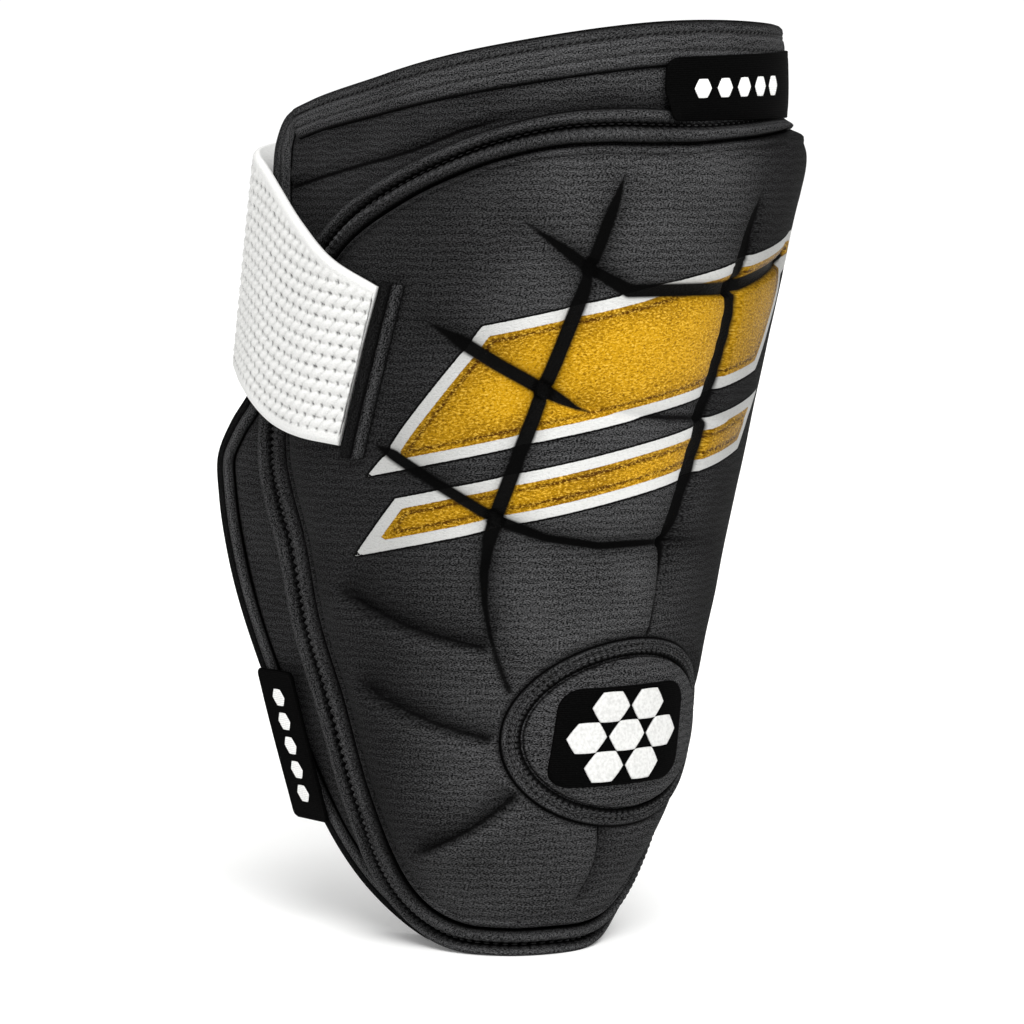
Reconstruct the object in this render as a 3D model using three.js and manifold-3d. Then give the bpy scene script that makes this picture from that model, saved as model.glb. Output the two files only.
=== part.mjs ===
// Elbow guard for batting: a padded trough that covers the front of the elbow, closed behind by a strap.
// Millimetres, +Z up. -Y is the outside of the elbow, +X the wearer's far side, and the arm runs up +Z.
// The guard stands on the flat rim of its toe, and the origin lies on that rim.
// A place on the padded wall has three coordinates: `across`, the distance along the wall from its front
// ridge (+ towards +X), `height` above the floor, and `out`, the distance outwards from the liner's face.

import * as THREE from 'three';
import { mergeVertices } from 'three/addons/utils/BufferGeometryUtils.js';
import Module from 'manifold-3d';

const wasm = await Module();
wasm.setup();

// Driving sizes
const pieceGap = 0.3; // clearance between neighbouring pieces
const layerGap = 0.8; // clearance between stacked pads, which are faceted
const linerThickness = 3.6;
const bindingWidth = 6;
const bindingProud = 1.6; // how far the binding stands above the liner's face
const hemWidth = 10;
const hemProud = 1.4;
const cornerHeight = 212.3; // the binding ends and the hem begins at this height
const cuffTilt = 0.05; // rise of the cuff towards +X, per millimetre across
const cuffTiltFrom = 185;
const cuffTiltTo = 222;
const shellThickness = 9;
const shellEdge = 3.4; // the shell's thickness at its edge, beside the border
const toeLift = 1.6; // the shell and its border lie over the binding at the toe
const toeLiftTop = 32; // and come down to the liner by this height
const ridgeHeight = 4.2;
const stitchValley = 2.7;
const grooveWidth = 3.6;
const grooveDepth = 3.2;
const creaseWidth = 3;
const creaseDepth = 1.7;
const cutterRise = 2; // how far a groove's cutter stands above the shell
const capRise = 2.4;
const capRingWidth = 4.6;
const capRingRise = 1.7;
const emblemThickness = 0.9;
const tagThickness = 1.2;
const labelThickness = 0.9;
const labelStepLow = 207; // the label's lower left corner lies over the border's ridge
const labelStepHigh = 212;
const labelStepLeft = 14;
const labelStepRight = 30;
const strapThickness = 2.2;
const tabWidth = 5.5;
const tabRise = 2.2;
const outlineSteps = 84;
const spansPerCorner = 30; // how finely an outline's length is measured

const table = (columns, rows) => rows.map(
  (row) => Object.fromEntries(row.map((value, k) => [columns[k], value])),
);

// Level sections of the liner's outer face: a front arc about (x, y), then straight legs towards the back.
// `wrap` is the angle in degrees from the ridge to the start of a leg.
const sections = table(['height', 'x', 'y', 'radius', 'wrap'], [
  [0, 0, 16.5, 16.5, 79],
  [15, 1.8, 26.3, 28.8, 78],
  [35, 2.8, 31.4, 38.9, 77],
  [60, 4.9, 40.7, 45.7, 76],
  [90, 5.5, 44.1, 52.1, 75],
  [120, 5.4, 38.5, 55, 75],
  [150, 6, 30.1, 56.6, 75],
  [180, 7.4, 20, 56.5, 75],
  [205, 9.6, 10.6, 55.1, 75],
  [229, 9.2, 8.3, 54.3, 76],
]);

// The two outlines on the unrolled wall, from the toe up the right side and down the left.
// The right shoulder and the right of the cuff stand higher than the left.
const linerCorners = table(['across', 'height'], [
  [0, -1.6], [12, -1.6], [20.5, 0.4], [30, 5], [42, 13], [56, 24], [71, 38], [87, 57], [98.5, 76], [106.5, 94],
  [112, 110], [114, 121], [110, 130], [103.5, 139], [100.5, 150], [101.5, 163], [105, 178], [109.5, 192],
  [111.5, 203], [109.5, 210.5], [100, 215.5], [80, 221.2], [62, 224.6], [40, 226.4], [0, 227.8], [-40, 224.3],
  [-73, 219.4], [-100, 214.6], [-109.5, 210.5], [-112, 202], [-109.5, 190], [-105, 178], [-101.5, 163],
  [-100.5, 150], [-103.5, 139], [-110, 130], [-114, 121], [-112, 110], [-106.5, 94], [-98.5, 75], [-88, 54],
  [-75, 31.5], [-63, 17], [-50.5, 6.8], [-39, 1], [-28.5, -1.3], [-16, -1.6],
]);
const shellCorners = table(['across', 'height'], [
  [0, -0.5], [9, -0.5], [16.5, 1], [25, 5.2], [34, 11.8], [44, 22], [54, 35.5], [64, 56], [73, 76], [80.5, 97],
  [87, 108], [92, 118], [94, 129], [94.3, 143], [94, 158], [92.8, 172], [90.5, 186], [85.5, 197.5], [76, 205],
  [62, 208.4], [42, 207.8], [22, 206.6], [10, 206.6], [0, 207.4], [-12, 208], [-25, 207.3], [-38, 204.3],
  [-48, 200.3], [-61, 193.5], [-77, 182.5], [-87.5, 168.5], [-91.5, 156], [-93.5, 143], [-94, 129], [-92, 118],
  [-87.5, 108], [-81.5, 97], [-75, 77], [-67, 58], [-59.5, 36.5], [-51.2, 21.5], [-41.5, 11],
  [-31, 4], [-20.5, 0.4], [-10, -0.5],
]);
// The stitched border is wider down the sides than round the toe and the top
const borderWidths = table(['height', 'width'], [
  [-1, 7], [20, 10], [60, 11], [130, 11], [170, 9.5], [195, 7.8], [208, 7.4],
]);

// Sewn grooves between the shell's blocks, and the softer creases, as points on the unrolled wall
const grooves = {
  leftUpright: [[-13, 192], [-13, 172], [-16.5, 139], [-21.5, 109], [-21.5, 95], [-18, 80], [-14, 72]],
  rightUpright: [[23, 194], [24.5, 168], [25, 150], [22, 118], [19, 100], [16.5, 82]],
  upperCross: [[-33, 186], [-12.5, 172], [-1, 166], [25, 166], [52, 173]],
  middleCross: [[-46, 159], [-27, 147], [-8.5, 136.5]],
  lowerCross: [[-49, 127], [-22, 109], [-11, 104.5], [2, 102], [22, 102], [46, 100]],
};
const creases = {
  waist: [[-8.5, 136.5], [8, 134], [52, 131]],
  leftUpper: [[-54, 96.5], [-38, 88.5], [-20, 82.5]],
  leftLower: [[-45, 69.5], [-32, 63], [-19, 59.5]],
  toeLeft: [[-31, 28], [-22, 34.5], [-14, 44]],
  toeFront: [[5.5, 33], [6, 24], [3, 12]],
};

// The elbow cap is an oval, and its patch a rounded rectangle on its crown
const cap = { across: 12.5, height: 55.2, halfWidth: 25, halfHeight: 18.4 };
const emblem = { across: 8.5, height: 55.2, width: 31, depth: 24, corner: 5, lean: 0.1 };
const label = { across: 33, height: 211.8, width: 66, depth: 15, corner: 3.5 };
const tag = { across: -79.5, height: 48, width: 14, length: 38, corner: 1.5, lean: 0.29 };

// The strap lies on the guard from its seam to the liner's edge. `low` and `high` are its two edges.
// Its seam is on the shell's face on the left, and further round, on the border, on the right.
const strapOnGuard = table(['lowAcross', 'highAcross', 'out', 'low', 'high'], [
  [58, 55, 10, 127, 165.5],
  [69, 68, 10, 128.5, 172],
  [80, 82, 9, 131, 180.5],
  [90, 95, 7, 134.5, 188],
  [98, 106, 4.6, 138, 194.5],
]);
const strapOnRight = table(['lowAcross', 'highAcross', 'out', 'low', 'high'], [
  [90, 95, 6, 134.5, 188],
  [98, 106, 4.6, 138, 194.5],
]);
// Behind the arm it bows round. Each edge is measured from the middle of its own level section.
const strapBehind = table(['lowX', 'lowY', 'highX', 'highY', 'low', 'high'], [
  [63.5, 17, 66.8, 24, 141, 197],
  [59.5, 29.5, 60.5, 36, 144.5, 199],
  [47.5, 43, 47, 48, 148, 200.5],
  [25.5, 51.5, 24.5, 55.5, 150, 201.5],
]);
const strapMiddle = { lowY: 54, highY: 58, low: 150.5, high: 202 };
const strapSteps = 48;
const tabs = {
  strap_tab_left: { low: [-54.8, 124], high: [-51.8, 168], base: shellThickness + layerGap },
  strap_tab_right: { low: [86.6, 131.5], high: [91.6, 190.5], base: ridgeHeight + layerGap },
};

// Cubic through the rows of a table, with each row's slope taken between its two neighbours
function readTable(rows, key, column, at) {
  const last = rows.length - 1;
  let i = 0;
  while (i < last - 1 && rows[i + 1][key] < at) i += 1;
  const slope = (k) => {
    const before = rows[Math.max(k - 1, 0)];
    const after = rows[Math.min(k + 1, last)];
    return (after[column] - before[column]) / (after[key] - before[key]);
  };
  const span = rows[i + 1][key] - rows[i][key];
  const t = (at - rows[i][key]) / span;
  const rise = rows[i + 1][column] - rows[i][column];
  const bendIn = slope(i) * span - rise;
  const bendOut = rise - slope(i + 1) * span;
  return rows[i][column] + t * rise + t * (1 - t) * ((1 - t) * bendIn + t * bendOut);
}

const section = (height) => ({
  x: readTable(sections, 'height', 'x', height),
  y: readTable(sections, 'height', 'y', height),
  radius: readTable(sections, 'height', 'radius', height),
  wrap: THREE.MathUtils.degToRad(readTable(sections, 'height', 'wrap', height)),
});

// From a place on the unrolled wall to its point in space
function wall(across, height, out) {
  const tilt = cuffTilt * THREE.MathUtils.smoothstep(height, cuffTiltFrom, cuffTiltTo);
  const z = height + tilt * across;
  const { x, y, radius, wrap } = section(z);
  const side = Math.sign(across);
  const angle = Math.min(Math.abs(across) / radius, wrap);
  const leg = Math.max(Math.abs(across) - radius * wrap, 0);
  return new THREE.Vector3(
    x + side * ((radius + out) * Math.sin(angle) + leg * Math.cos(angle)),
    y - (radius + out) * Math.cos(angle) + leg * Math.sin(angle),
    z,
  );
}

const shellLift = (height) => toeLift * (1 - THREE.MathUtils.smoothstep(height, 5, toeLiftTop));

// A closed outline with the inward direction at each point, and the point of its spine, an upright line up
// its middle, that a ring shrinks to there. A point and its twin on the other half share a point of the spine.
function withSpine(points, spineLow, spineHigh) {
  const count = points.length;
  const heights = points.map((p) => p.height);
  const lowest = Math.min(...heights);
  const highest = Math.max(...heights);
  const middle = (Math.max(...points.map((p) => p.across)) + Math.min(...points.map((p) => p.across))) / 2;
  return points.map((point, i) => {
    const next = points[(i + 1) % count];
    const before = points[(i + count - 1) % count];
    const along = new THREE.Vector2(next.across - before.across, next.height - before.height).normalize();
    const twin = points[(count - i) % count];
    const share = ((point.height + twin.height) / 2 - lowest) / (highest - lowest);
    const spine = { across: middle, height: THREE.MathUtils.lerp(spineLow, spineHigh, share) };
    return { ...point, inAcross: -along.y, inHeight: along.x, spine };
  });
}

// A smooth closed outline through its corners, from the middle of the toe. Half of its points lie on each side
// of the corner at the middle of the top.
function smoothOutline(corners, steps, spineLow, spineHigh) {
  const path = corners.map((p) => new THREE.Vector3(p.across, p.height, 0));
  const top = corners.findIndex((p, i) => i > 0 && p.across <= 0);
  const curve = new THREE.CatmullRomCurve3(path, true, 'centripetal');
  curve.arcLengthDivisions = spansPerCorner * path.length;
  const lengths = curve.getLengths();
  const topShare = lengths[spansPerCorner * top] / lengths.at(-1);
  const points = Array.from({ length: steps }, (_, i) => {
    const climb = (2 * i) / steps;
    const along = climb <= 1 ? topShare * climb : topShare + (1 - topShare) * (climb - 1);
    const place = curve.getPointAt(along);
    return { across: place.x, height: place.y };
  });
  return withSpine(points, spineLow, spineHigh);
}

function ovalOutline(oval, grow, steps) {
  const points = Array.from({ length: steps }, (_, i) => {
    const angle = (2 * Math.PI * i) / steps - Math.PI / 2;
    return {
      across: oval.across + (oval.halfWidth + grow) * Math.cos(angle),
      height: oval.height + (oval.halfHeight + grow) * Math.sin(angle),
    };
  });
  return withSpine(points, oval.height, oval.height);
}

// A rounded rectangle that leans across by `lean` for each millimetre up
function patchOutline(middle, width, depth, corner, lean, steps) {
  const w = width / 2 - corner;
  const d = depth / 2 - corner;
  const shape = new THREE.Shape();
  shape.moveTo(0, -d - corner);
  shape.lineTo(w, -d - corner);
  shape.absarc(w, -d, corner, -Math.PI / 2, 0);
  shape.absarc(w, d, corner, 0, Math.PI / 2);
  shape.absarc(-w, d, corner, Math.PI / 2, Math.PI);
  shape.absarc(-w, -d, corner, Math.PI, 1.5 * Math.PI);
  shape.closePath();
  const points = shape.getSpacedPoints(steps).slice(0, steps).map((p) => ({
    across: middle.across + p.x + lean * p.y,
    height: middle.height + p.y,
  }));
  return withSpine(points, middle.height, middle.height);
}

// A closed mesh from points and triangles: shared points are merged, and empty triangles dropped
function closedGeometry(points, triangles) {
  const loose = new THREE.BufferGeometry().setFromPoints(points);
  loose.setIndex(triangles.flat());
  const merged = mergeVertices(loose, 1e-3);
  const index = merged.getIndex().array;
  const kept = [];
  for (let i = 0; i < index.length; i += 3) {
    const [a, b, c] = [index[i], index[i + 1], index[i + 2]];
    if (a !== b && b !== c && c !== a) kept.push(a, b, c);
  }
  const place = merged.getAttribute('position');
  const corner = (k) => new THREE.Vector3().fromBufferAttribute(place, k);
  let volume = 0;
  for (let i = 0; i < kept.length; i += 3) {
    volume += corner(kept[i]).dot(corner(kept[i + 1]).cross(corner(kept[i + 2])));
  }
  if (volume < 0) kept.reverse();
  merged.setIndex(kept);
  return merged;
}

// Quads between neighbouring rows of points, as triangles. `joined` closes each row on itself.
function stitchRows(rowCount, rowLength, joined) {
  const triangles = [];
  for (let r = 0; r + 1 < rowCount; r += 1) {
    for (let i = 0; i < (joined ? rowLength : rowLength - 1); i += 1) {
      const a = r * rowLength + i;
      const b = r * rowLength + ((i + 1) % rowLength);
      triangles.push([a, b, b + rowLength], [a, b + rowLength, a + rowLength]);
    }
  }
  return triangles;
}

// A pad is a list of rings, from the spine of its inner face, round its edge, to the spine of its outer face.
// A ring is the outline moved in by `inset`, then `share` of the way to the spine, at `out` from the wall.
function padGeometry(outline, rings) {
  const points = rings.flatMap((ring) => outline.map((point, i) => {
    const inset = typeof ring.inset === 'function' ? ring.inset(point, i) : ring.inset;
    const share = ring.share ?? 0;
    const across = THREE.MathUtils.lerp(point.across + inset * point.inAcross, point.spine.across, share);
    const height = THREE.MathUtils.lerp(point.height + inset * point.inHeight, point.spine.height, share);
    const out = typeof ring.out === 'function' ? ring.out(across, height) : ring.out;
    return wall(across, height, out);
  }));
  return closedGeometry(points, stitchRows(rings.length, outline.length, true));
}

// A band carries a closed profile of (inset, out) points along part or all of an outline.
// Nothing reaches below the floor, which flattens the rim that the guard stands on.
function bandGeometry(outline, profileAt, joined) {
  const rows = outline.map((point, i) => profileAt(point, i).map(([inset, out]) => {
    const place = wall(point.across + inset * point.inAcross, point.height + inset * point.inHeight, out);
    return place.setZ(Math.max(place.z, 0));
  }));
  const sides = rows[0].length;
  const points = (joined ? [...rows, rows[0]] : rows).flat();
  const triangles = stitchRows(joined ? rows.length + 1 : rows.length, sides, true);
  if (!joined) {
    const lastRow = (rows.length - 1) * sides;
    for (let k = 1; k + 1 < sides; k += 1) {
      triangles.push([0, k + 1, k], [lastRow, lastRow + k, lastRow + k + 1]);
    }
  }
  return closedGeometry(points, triangles);
}

// An open path on the unrolled wall, evenly stepped, with the direction to its left at each point
function wallPath(corners, step) {
  const curve = new THREE.CatmullRomCurve3(
    corners.map(([across, height]) => new THREE.Vector3(across, height, 0)),
    false,
    'centripetal',
  );
  const count = Math.ceil(curve.getLength() / step);
  return Array.from({ length: count + 1 }, (_, i) => {
    const place = curve.getPointAt(i / count);
    const along = curve.getTangentAt(i / count);
    return { across: place.x, height: place.y, inAcross: -along.y, inHeight: along.x };
  });
}

function solidOf(geometry) {
  return new wasm.Manifold(new wasm.Mesh({
    numProp: 3,
    vertProperties: new Float32Array(geometry.getAttribute('position').array),
    triVerts: new Uint32Array(geometry.getIndex().array),
  }));
}

function geometryOf(solid) {
  const mesh = solid.getMesh();
  const geometry = new THREE.BufferGeometry();
  geometry.setAttribute('position', new THREE.BufferAttribute(mesh.vertProperties, mesh.numProp));
  geometry.setIndex(new THREE.BufferAttribute(mesh.triVerts, 1));
  return geometry;
}

const knit = new THREE.MeshStandardMaterial({ color: '#3b3b3c', roughness: 0.9 });
const darkKnit = new THREE.MeshStandardMaterial({ color: '#242425', roughness: 0.9 });
const elastic = new THREE.MeshStandardMaterial({ color: '#eeeeec', roughness: 0.85 });
const patchCloth = new THREE.MeshStandardMaterial({ color: '#1c1c1d', roughness: 0.7 });

const guard = new THREE.Group();
function addPiece(name, geometry, material) {
  const mesh = new THREE.Mesh(geometry, material);
  mesh.name = name;
  guard.add(mesh);
}

// Liner, with room at its edge for the binding and, along the top, the hem
const linerOutline = smoothOutline(linerCorners, outlineSteps, 40, 185);
const firstHemPoint = linerOutline.findIndex((p) => p.height > cornerHeight);
const lastHemPoint = linerOutline.findLastIndex((p) => p.height > cornerHeight);
const edgeWidth = (point) => (point.height > cornerHeight ? hemWidth : bindingWidth);
const linerInset = (point) => edgeWidth(point) + pieceGap;
const padShares = [0.16, 0.33, 0.5, 0.67, 0.84, 1];
addPiece('liner', padGeometry(linerOutline, [
  ...padShares.toReversed().map((share) => ({ inset: linerInset, share, out: -linerThickness })),
  { inset: linerInset, out: -linerThickness },
  { inset: linerInset, out: 0 },
  ...padShares.map((share) => ({ inset: linerInset, share, out: 0 })),
]), knit);

// Binding: a rolled edge with a flat underside on the liner's inner face, down both sides and round the toe
const bindingInner = -linerThickness - 0.6;
const bindingProfile = [
  [bindingWidth, bindingInner + 0.8], [bindingWidth - 1.5, bindingInner], [1.5, bindingInner],
  [0, bindingInner + 1.8], [0, 0.2], [1.6, bindingProud], [4, bindingProud], [bindingWidth, 0.4],
];
const besideHem = (inside, corner) => {
  const share = 1 - pieceGap / Math.hypot(corner.across - inside.across, corner.height - inside.height);
  const between = (key) => THREE.MathUtils.lerp(inside[key], corner[key], share);
  return {
    across: between('across'), height: between('height'),
    inAcross: corner.inAcross, inHeight: corner.inHeight,
  };
};
const sidesAndToe = [...linerOutline.slice(lastHemPoint + 1), ...linerOutline.slice(0, firstHemPoint)];
const bindingPoints = [
  besideHem(sidesAndToe[0], linerOutline[lastHemPoint]),
  ...sidesAndToe,
  besideHem(sidesAndToe.at(-1), linerOutline[firstHemPoint]),
];
addPiece('liner_binding', bandGeometry(bindingPoints, () => bindingProfile, false), darkKnit);

// Hem: a wide flat band along the cuff
const hemProfile = [
  [hemWidth, bindingInner + 0.4], [1.5, bindingInner], [0, bindingInner + 1.5],
  [0, 0], [1.5, hemProud], [hemWidth - 1.2, hemProud], [hemWidth, 0.5],
];
const hemPoints = linerOutline.slice(firstHemPoint, lastHemPoint + 1);
addPiece('cuff_hem', bandGeometry(hemPoints, () => hemProfile, false), knit);

// Border: two sewn ridges with a line of stitches in the valley between them, pressed flat under the label
const shellOutline = smoothOutline(shellCorners, outlineSteps, 45, 165);
const borderWidth = (point) => readTable(borderWidths, 'height', 'width', point.height);
const borderProfile = table(['share', 'out'], [
  [1, layerGap], [0, layerGap], [0, 2], [0.19, ridgeHeight], [0.37, ridgeHeight - 0.5], [0.5, stitchValley],
  [0.63, ridgeHeight - 0.3], [0.85, ridgeHeight], [1, 2.6],
]);
const pressedByLabel = (point) => THREE.MathUtils.smoothstep(point.across, labelStepLeft, labelStepRight)
  * THREE.MathUtils.smoothstep(point.height, 190, 202);
const liftedBorder = (point) => borderProfile.map(({ share, out }) => {
  const pressed = THREE.MathUtils.lerp(out, Math.min(out, hemProud), pressedByLabel(point));
  return [share * borderWidth(point), pressed + shellLift(point.height)];
});
addPiece('shell_border', bandGeometry(shellOutline, liftedBorder, true), knit);

// Shell: it rises from its edge beside the border to its full thickness, and the grooves are cut into it
const shellInset = (further) => (point) => borderWidth(point) + pieceGap + further;
const shellBase = (across, height) => layerGap + shellLift(height);
const shellSolid = solidOf(padGeometry(shellOutline, [
  ...padShares.toReversed().map((share) => ({ inset: shellInset(0), share, out: shellBase })),
  { inset: shellInset(0), out: shellBase },
  { inset: shellInset(0), out: (across, height) => shellEdge + shellLift(height) },
  { inset: shellInset(1.6), out: 5.4 },
  { inset: shellInset(4.5), out: 7.3 },
  { inset: shellInset(9), out: 8.6 },
  ...padShares.slice(1).map((share) => ({ inset: shellInset(0), share, out: shellThickness })),
]));
function cutter(corners, width, depth) {
  const flare = (width / 2) * ((depth + cutterRise) / depth);
  const profile = [
    [flare, shellThickness + cutterRise], [0, shellThickness - depth], [-flare, shellThickness + cutterRise],
  ];
  return solidOf(bandGeometry(wallPath(corners, 9), () => profile, false));
}
let cutShell = shellSolid;
for (const corners of Object.values(grooves)) {
  cutShell = cutShell.subtract(cutter(corners, grooveWidth, grooveDepth));
}
for (const corners of Object.values(creases)) {
  cutShell = cutShell.subtract(cutter(corners, creaseWidth, creaseDepth));
}
addPiece('shell', geometryOf(cutShell), knit);

// Elbow cap with its ring, on the shell's face, and the patch that follows the cap's crown
const capBase = shellThickness + layerGap;
function capTop(across, height) {
  const x = (across - cap.across) / cap.halfWidth;
  const z = (height - cap.height) / cap.halfHeight;
  return capBase + capRise * Math.sqrt(Math.max(1 - (x * x + z * z) * 0.75, 0));
}
const capOutline = ovalOutline(cap, 0, 32);
addPiece('elbow_cap', padGeometry(capOutline, [
  { inset: 0.4, share: 1, out: capBase },
  { inset: 0.4, share: 0.5, out: capBase },
  { inset: 0.4, out: capBase },
  { inset: 0, out: capTop },
  { inset: 0, share: 0.2, out: capTop },
  { inset: 0, share: 0.5, out: capTop },
  { inset: 0, share: 1, out: capTop },
]), knit);
const capRingProfile = [
  [capRingWidth, 0], [0, 0], [0.5, 1.1], [1.4, capRingRise], [2.3, 1], [3.3, capRingRise],
  [capRingWidth, 0.7],
].map(([inset, rise]) => [inset, capBase + rise]);
const capRingOutline = ovalOutline(cap, capRingWidth + pieceGap, 40);
addPiece('cap_ring', bandGeometry(capRingOutline, () => capRingProfile, true), darkKnit);
const emblemBase = (across, height) => capTop(across, height) + pieceGap;
const emblemTop = (across, height) => emblemBase(across, height) + emblemThickness;
const emblemOutline = patchOutline(emblem, emblem.width, emblem.depth, emblem.corner, emblem.lean, 28);
addPiece('cap_emblem', padGeometry(emblemOutline, [
  { inset: 0, share: 1, out: emblemBase },
  { inset: 0, share: 0.5, out: emblemBase },
  { inset: 0, out: emblemBase },
  { inset: 0.5, out: emblemTop },
  { inset: 0.5, share: 0.5, out: emblemTop },
  { inset: 0.5, share: 1, out: emblemTop },
]), patchCloth);

// Strap: a ruled ribbon between its low and high edges, all the way round
function strapEdge(level) {
  const onGuard = (side) => (side < 0 ? strapOnGuard : strapOnRight).map(
    (row) => wall(side * row[`${level}Across`], row[level], row.out),
  );
  const behind = (side) => strapBehind.map((row) => {
    const { x, y } = section(row[level]);
    return new THREE.Vector3(x + side * row[`${level}X`], y + row[`${level}Y`], row[level]);
  });
  const back = section(strapMiddle[level]);
  const middle = new THREE.Vector3(back.x, back.y + strapMiddle[`${level}Y`], strapMiddle[level]);
  const points = [
    ...onGuard(-1), ...behind(-1), middle, ...behind(1).reverse(), ...onGuard(1).reverse(),
  ];
  return new THREE.CatmullRomCurve3(points, false, 'centripetal');
}
const lowEdge = strapEdge('low');
const highEdge = strapEdge('high');
const strapRows = Array.from({ length: strapSteps + 1 }, (_, i) => {
  const t = i / strapSteps;
  const outwards = (curve) => {
    const along = curve.getTangent(t);
    return new THREE.Vector3(-along.y, along.x, 0).setLength(strapThickness);
  };
  const low = lowEdge.getPoint(t);
  const high = highEdge.getPoint(t);
  return [low, high, high.clone().add(outwards(highEdge)), low.clone().add(outwards(lowEdge))];
});
const strapEnd = strapSteps * 4;
addPiece('strap', closedGeometry(strapRows.flat(), [
  ...stitchRows(strapRows.length, 4, true),
  [0, 2, 1], [0, 3, 2], [strapEnd, strapEnd + 1, strapEnd + 2], [strapEnd, strapEnd + 2, strapEnd + 3],
]), elastic);

// Tabs over the strap's seams
const tabProfile = [
  [-tabWidth / 2, 0], [tabWidth / 2, 0], [tabWidth / 2, tabRise * 0.7],
  [tabWidth / 4, tabRise], [-tabWidth / 2, tabRise * 0.45],
];
for (const [name, { low, high, base }] of Object.entries(tabs)) {
  const towardsStrap = -Math.sign(low[0]);
  const profile = tabProfile.map(([inset, rise]) => [towardsStrap * inset, base + rise]);
  addPiece(name, bandGeometry(wallPath([low, high], 6), () => profile, false), darkKnit);
}

// Tag on the left edge, and the label on the cuff, which lies over the hem's lower edge and the border
function flatPatch(outline, base, thickness) {
  const top = (across, height) => base(across, height) + thickness;
  return padGeometry(outline, [
    { inset: 0, share: 1, out: base },
    { inset: 0, share: 0.5, out: base },
    { inset: 0, out: base },
    { inset: 0.2, out: top },
    { inset: 0.2, share: 0.5, out: top },
    { inset: 0.2, share: 1, out: top },
  ]);
}
const tagOutline = patchOutline(tag, tag.width, tag.length, tag.corner, -tag.lean, 24);
addPiece('side_tag', flatPatch(tagOutline, () => bindingProud + layerGap, tagThickness), patchCloth);
function labelBase(across, height) {
  const low = 1 - THREE.MathUtils.smoothstep(height, labelStepLow, labelStepHigh);
  const left = 1 - THREE.MathUtils.smoothstep(across, labelStepLeft, labelStepRight);
  return THREE.MathUtils.lerp(hemProud, ridgeHeight, low * left) + layerGap;
}
const labelOutline = patchOutline(label, label.width, label.depth, label.corner, 0, 28);
addPiece('top_label', flatPatch(labelOutline, labelBase, labelThickness), patchCloth);

export default guard;
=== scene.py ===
# Elbow guard for batting: a padded trough with a sewn shell, an elbow cap and an elastic strap behind.
# A place on the padded wall is (across, height, out) in millimetres, as on the unrolled cloth: across from
# the front ridge, height above the floor, out from the liner's outer face.
import math
from functools import partial

import bpy
import numpy as np
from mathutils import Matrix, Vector


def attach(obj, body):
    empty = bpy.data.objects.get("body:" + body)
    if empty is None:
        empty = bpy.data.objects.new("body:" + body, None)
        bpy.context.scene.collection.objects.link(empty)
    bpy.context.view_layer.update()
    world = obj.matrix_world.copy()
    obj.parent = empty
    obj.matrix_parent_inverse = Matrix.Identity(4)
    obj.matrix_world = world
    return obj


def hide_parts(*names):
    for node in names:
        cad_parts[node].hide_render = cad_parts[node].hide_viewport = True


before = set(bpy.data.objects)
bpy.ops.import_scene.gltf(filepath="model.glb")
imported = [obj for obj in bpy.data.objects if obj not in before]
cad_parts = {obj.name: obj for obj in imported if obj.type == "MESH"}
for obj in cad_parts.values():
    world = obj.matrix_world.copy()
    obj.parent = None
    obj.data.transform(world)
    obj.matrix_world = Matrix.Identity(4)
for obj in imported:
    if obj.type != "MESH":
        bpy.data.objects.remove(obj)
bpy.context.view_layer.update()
mm = 0.001

wallShape = {
    # height, x, y, radius, wrap in degrees: a front arc about (x, y), then straight legs towards the back
    "sections": np.array([
        [0, 0, 16.5, 16.5, 79], [15, 1.8, 26.3, 28.8, 78], [35, 2.8, 31.4, 38.9, 77],
        [60, 4.9, 40.7, 45.7, 76], [90, 5.5, 44.1, 52.1, 75], [120, 5.4, 38.5, 55, 75],
        [150, 6, 30.1, 56.6, 75], [180, 7.4, 20, 56.5, 75], [205, 9.6, 10.6, 55.1, 75],
        [229, 9.2, 8.3, 54.3, 76],
    ]),
    "cuffTilt": 0.05, "tiltFrom": 185, "tiltTo": 222,  # the cuff rises towards +X
    "toeLift": 1.6, "liftFull": 5, "liftEnd": 32,  # shell and border lie over the binding at the toe
}


def smoothStep(x, low, high):
    t = np.clip((x - low) / (high - low), 0, 1)
    return t * t * (3 - 2 * t)


# Bell curve: one at the middle, about a third at one width from it
def bell(x, middle, width):
    return np.exp(-((x - middle) / width) ** 2)


# Cubic through the rows of a table, with each row's slope taken between its two neighbours
def readTable(rows, column, at):
    rows = np.asarray(rows, float)
    key, value = rows[:, 0], rows[:, column]
    row = np.arange(len(key))
    before, after = np.maximum(row - 1, 0), np.minimum(row + 1, len(key) - 1)
    slope = (value[after] - value[before]) / (key[after] - key[before])
    at = np.asarray(at, float)
    i = np.clip(np.searchsorted(key[1:], at), 0, len(key) - 2)
    span, rise = key[i + 1] - key[i], value[i + 1] - value[i]
    t = (at - key[i]) / span
    bend = (1 - t) * (slope[i] * span - rise) + t * (rise - slope[i + 1] * span)
    return value[i] + t * rise + t * (1 - t) * bend


# Wall: angle along the arc is across over radius, up to the wrap, and the rest runs straight along the leg
def wallPoint(places, out):
    across, height, out = np.broadcast_arrays(places[..., 0], places[..., 1], out)
    tilt = wallShape["cuffTilt"] * smoothStep(height, wallShape["tiltFrom"], wallShape["tiltTo"])
    z = height + tilt * across
    x, y, radius, wrap = (readTable(wallShape["sections"], k, z) for k in (1, 2, 3, 4))
    wrap = np.radians(wrap)
    angle = np.minimum(np.abs(across) / radius, wrap)
    leg = np.maximum(np.abs(across) - radius * wrap, 0)
    return np.stack([
        x + np.sign(across) * ((radius + out) * np.sin(angle) + leg * np.cos(angle)),
        y - (radius + out) * np.cos(angle) + leg * np.sin(angle),
        z,
    ], -1) * mm


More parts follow.
